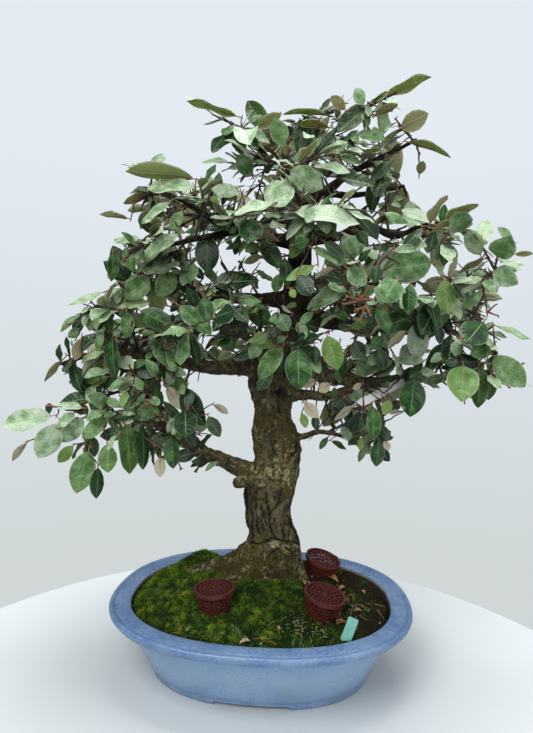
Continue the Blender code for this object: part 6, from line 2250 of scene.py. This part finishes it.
@dataclass
class Fallen:
    """Dead leaves, dry grass and small weeds, which lie or grow on the soil."""

    soil: Soil
    shape: tuple = (
        (-0.5, 0.03), (-0.38, 0.5), (-0.15, 0.95), (0.1, 1.0), (0.32, 0.7), (0.45, 0.3), (0.5, 0.03)
    )
    lanes: tuple = (-1.0, -0.4, 0.4, 1.0)

    def build(self) -> None:
        """Builds them all as one piece."""
        chance = random.Random(3)
        piece = Piece("litter", Slot.SOIL, Litter().material())
        for x, y, length, heading, tone in DEAD_LEAVES:
            self.add_leaf(piece, (x, y, 1.2), length, math.radians(heading), tone, 0.5)
        for x, y, spread, count, tall, length, tone in GRASS:
            for _ in range(count):
                place = (x + chance.gauss(0.0, spread / 2), y + chance.gauss(0.0, spread / 2))
                rise = tall * chance.uniform(0.5, 1.2)
                self.add_blade(piece, place, rise, length * chance.uniform(0.5, 1.1), tone, chance)
        for x, y, spread, count in WEEDS:
            for _ in range(count):
                place = (x + chance.gauss(0, spread / 2), y + chance.gauss(0, spread / 2))
                place += (chance.uniform(1.0, 3.5),)
                size, tone = chance.uniform(1.8, 4.2), chance.uniform(0.0, 0.34)
                self.add_leaf(piece, place, size, chance.uniform(0.0, math.tau), tone, 0.1)
        piece.make("soil", sharp=70)

    def add_leaf(
        self, piece: Piece, place: tuple, length: float, heading: float, tone: float, curl: float
    ) -> None:
        """Adds one oval leaf that lies on the soil.

        Args:
            piece: The piece that it goes into.
            place: Its middle, and how high it lies above the soil.
            length: Its length.
            heading: The way that its tip points.
            tone: Its tone trait.
            curl: How far its sides curl up.
        """
        along = Vector((math.cos(heading), math.sin(heading), 0.0))
        across = Vector((-along.y, along.x, 0.0))
        middle = Vector((place[0], place[1], self.soil.height(place[0], place[1]) + place[2]))
        loops = []
        for share, wide in self.shape:
            half = 0.27 * length * wide
            rise = length * (0.1 - 0.5 * share * share + 0.1 * share)
            centre = middle + along * (share * length) + UP * rise
            loop = []
            for thick, lanes in ((0.15, self.lanes), (-0.15, self.lanes[::-1])):
                for lane in lanes:
                    loop.append(centre + across * half * lane + UP * (curl * half * lane * lane + thick))
            loops.append(loop)
        piece.add(*loft(loops), look=(tone, 0.0, 0.0))

    def add_blade(
        self, piece: Piece, place: tuple, tall: float, length: float, tone: float, chance: random.Random
    ) -> None:
        """Adds one thin blade of grass that rises from the soil and bends over.

        Args:
            piece: The piece that it goes into.
            place: Its foot.
            tall: How high it rises.
            length: How far it reaches.
            tone: Its tone trait.
            chance: Where its chance values come from.
        """
        heading = chance.uniform(0.0, math.tau)
        turn = chance.gauss(0.0, 0.5)
        x, y = place
        rows = []
        for step in range(9):
            share = step / 8
            on_soil = oval_share(x, y, self.soil.inset) < 0.97
            ground = self.soil.height(x, y) if on_soil else self.soil.edge + 1.0
            rise = tall * math.sin(math.pi * 0.62 * share) - 0.6 * (step == 0)
            rows.append((x, y, ground + 0.5 + rise, 0.5 - 0.36 * share))
            x += math.cos(heading + turn * share) * length / 8
            y += math.sin(heading + turn * share) * length / 8
        piece.add(*tube(rows, 4), look=(clamped(tone + chance.gauss(0.0, 0.05)), 0.0, 0.0))


@dataclass
class PlantLabel:
    """The blank plant label that stands in the soil."""

    width: float = 12.5
    thick: float = 0.9
    shown: float = 27.0
    buried: float = 16.0
    foot: tuple = (108.0, -98.0, 87.0)
    along: tuple = (10.0, 4.0, 25.0)

    def build(self) -> None:
        """Builds the label with rounded corners and a pointed foot."""
        along = Vector(self.along).normalized()
        across = square_to(Vector((1.0, 0.15, 0.0)), along)
        half, point = self.width / 2, 6.0 - self.buried
        outline = [(0.0, -self.buried), (half, point), *arch(half, self.shown, 1.6, 6), (-half, point)]
        plastic = MouldedPlastic("label plastic", (0.17, 0.44, 0.38), (0.22, 0.50, 0.43), roughness=0.5)
        piece = Piece("blank_label", Slot.LABEL, plastic.material())
        through = along.cross(across) * (self.thick / 2)
        middle = [Vector(self.foot) + across * a + along * b for a, b in outline]
        piece.add(*loft([[point + through * side for point in middle] for side in (1, -1)]))
        piece.make("plant_label", sharp=40)


@dataclass
class PaperTag:
    """The blank paper tag tied to the lower right limb."""

    top: tuple = (186.0, -3.5, 386.0)
    point: tuple = (114.0, -20.0, 349.0)
    facing: tuple = (0.0, -0.86, 0.51)
    width: float = 12.0
    thick: float = 0.5
    tie_middle: tuple = (184.0, 6.0, 387.3)
    tie_axis: tuple = (50.0, -8.0, 3.0)
    tie_radius: float = 8.2
    lanes: tuple = (-1.0, -0.5, 0.0, 0.5, 1.0)

    def build(self) -> None:
        """Builds the tag's curled strip and its tie."""
        paper = MouldedPlastic("tag paper", (0.95, 0.955, 0.955), (0.91, 0.92, 0.92), (0.8, 0.78, 0.72), 0.6)
        piece = Piece("blank_tag", Slot.TAG, paper.material())
        top, point = Vector(self.top), Vector(self.point)
        length = (point - top).length
        along = (point - top).normalized()
        across = along.cross(square_to(Vector(self.facing), along))
        through = along.cross(across)
        loops = []
        for step in range(25):
            run = -2.0 + (length + 2.0) * step / 24
            half = min(self.width / 2, max((length - run) * 0.27, 0.15))
            half = half if run >= 3.0 else 2.0 + 0.8 * (run + 2.0)
            middle = top + along * run + through * (math.sin(run / length * math.pi) * 2.2)
            loop = []
            for thick, lanes in ((self.thick / 2, self.lanes), (-self.thick / 2, self.lanes[::-1])):
                for lane in lanes:
                    curl = 0.03 * half * half * lane * lane
                    loop.append(middle + across * half * lane + through * (curl + thick))
            loops.append(loop)
        piece.add(*loft(loops))
        axis = Vector(self.tie_axis).normalized()
        side, other = sides_of(axis)
        rows = []
        for step in range(49):
            outward = turned(side, other, math.tau * step / 48 * 1.02)
            rows.append((*(Vector(self.tie_middle) + outward * self.tie_radius + axis * step * 0.03), 0.6))
        piece.add(*tube(rows, 8))
        piece.make("paper_tag", sharp=50)


@dataclass
class Studio:
    """The pale floor, the soft lights and the camera."""

    floor_radius: float = 500.0
    floor_middle: tuple = (0.0, -160.0)
    floor_tones: tuple = ((0.57, 0.61, 0.625), (0.61, 0.65, 0.665))
    high_wall: Colour = (0.775, 0.83, 0.895)
    low_wall: Colour = (0.635, 0.68, 0.68)
    sky_light: Colour = (0.42, 0.435, 0.45)
    side_light: Colour = (0.10, 0.104, 0.108)
    aim: tuple = (0.0, 0.0, 0.4)
    lamps: tuple = (
        ("key", (-0.9, -1.7, 2.3), 1.6, 53.0, (1.0, 0.985, 0.96)),
        ("front", (0.6, -2.7, 0.9), 1.6, 20.0, (1.0, 0.99, 0.97)),
        ("right", (1.9, -1.2, 1.5), 2.0, 12.0, (1.0, 0.99, 0.97)),
        ("top", (0.2, 0.2, 2.6), 1.6, 62.0, (0.97, 0.985, 1.0)),
    )

    def build(self) -> None:
        """Builds the whole studio."""
        self.build_floor()
        self.build_surroundings()
        for lamp in self.lamps:
            self.build_lamp(*lamp)
        self.place_camera()
        bpy.context.scene.view_settings.view_transform = "Standard"

    def build_floor(self) -> None:
        """Builds the plain round floor."""
        coat = Coat("pale floor", roughness=0.6)
        coat.colour = coat.mix(coat.noise(3.0, 2.0), *self.floor_tones)
        points, faces = prism(circle(self.floor_radius, 128, self.floor_middle), -12.0, -0.2)
        floor = new_object("floor", ([point + POT_MIDDLE for point in points], faces))
        floor.data.materials.append(coat.done())

    def build_surroundings(self) -> None:
        """Sets the pale surroundings, softer where they light than where they are seen."""
        world = bpy.data.worlds.new("studio")
        world.use_nodes = True
        bpy.context.scene.world = world
        graph = Graph(world.node_tree)
        rise = graph.parts(graph.add("TexCoord").outputs["Generated"])[2]
        seen = graph.mix(graph.ramp(rise, -0.34, 0.4), self.low_wall, self.high_wall)
        lit = graph.mix(graph.ramp(rise, -0.1, 0.75), self.side_light, self.sky_light)
        camera_ray = graph.add("LightPath").outputs["Is Camera Ray"]
        graph.feed(world.node_tree.nodes["Background"].inputs["Color"], graph.mix(camera_ray, lit, seen))

    def build_lamp(self, name: str, place: tuple, size: float, power: float, colour: Colour) -> None:
        """Sets one soft round lamp, which looks at the tree's middle.

        Args:
            name: Its name.
            place: Where it stands, in metres.
            size: Its width, in metres.
            power: Its power in watts.
            colour: The colour of its light.
        """
        lamp = bpy.data.lights.new(name, "AREA")
        lamp.shape, lamp.size, lamp.energy, lamp.color = "DISK", size, power, colour
        ob = linked(name, lamp)
        ob.location = place
        ob.rotation_euler = (Vector(self.aim) - Vector(place)).to_track_quat("-Z", "Y").to_euler()

    def place_camera(self) -> None:
        """Sets the camera at the photograph's angle."""
        camera = bpy.data.cameras.new("camera")
        camera.lens, camera.sensor_width = VIEW.focal, VIEW.sensor
        ob = linked("camera", camera)
        right, up, forward = VIEW.axes()
        turn = Matrix((right, up, -forward)).transposed()
        ob.matrix_world = Matrix.Translation((Vector(VIEW.eye) + POT_MIDDLE) * MM) @ turn.to_4x4()
        bpy.context.scene.camera = ob


CUP_RED = MouldedPlastic(
    "basket plastic", (0.062, 0.0070, 0.0052), (0.100, 0.0155, 0.011), (0.08, 0.045, 0.026), 0.52
)
# Near-black plastic, painted shade inside the cups.
CUP_PAINTED_SHADE = MouldedPlastic(
    "basket inside", (0.012, 0.002, 0.0018), (0.02, 0.004, 0.003), (0.02, 0.01, 0.006), 0.8
)


def main() -> None:
    """Builds the bonsai piece by piece, then the studio."""
    logging.basicConfig(level=logging.INFO, format="%(message)s")
    noise.seed_set(NOISE_SEED)
    Pot().build()
    soil = Soil()
    soil.build()
    Fallen(soil).build()
    Wood().build()
    Crown(tree_of(packed_shape("trunk"))).build()
    plastic, shaded = CUP_RED.material(), CUP_PAINTED_SHADE.material()
    for place in BASKET_PLACES:
        Basket(place).build(plastic, shaded)
    PlantLabel().build()
    PaperTag().build()
    Studio().build()


if __name__ == "__main__":
    main()
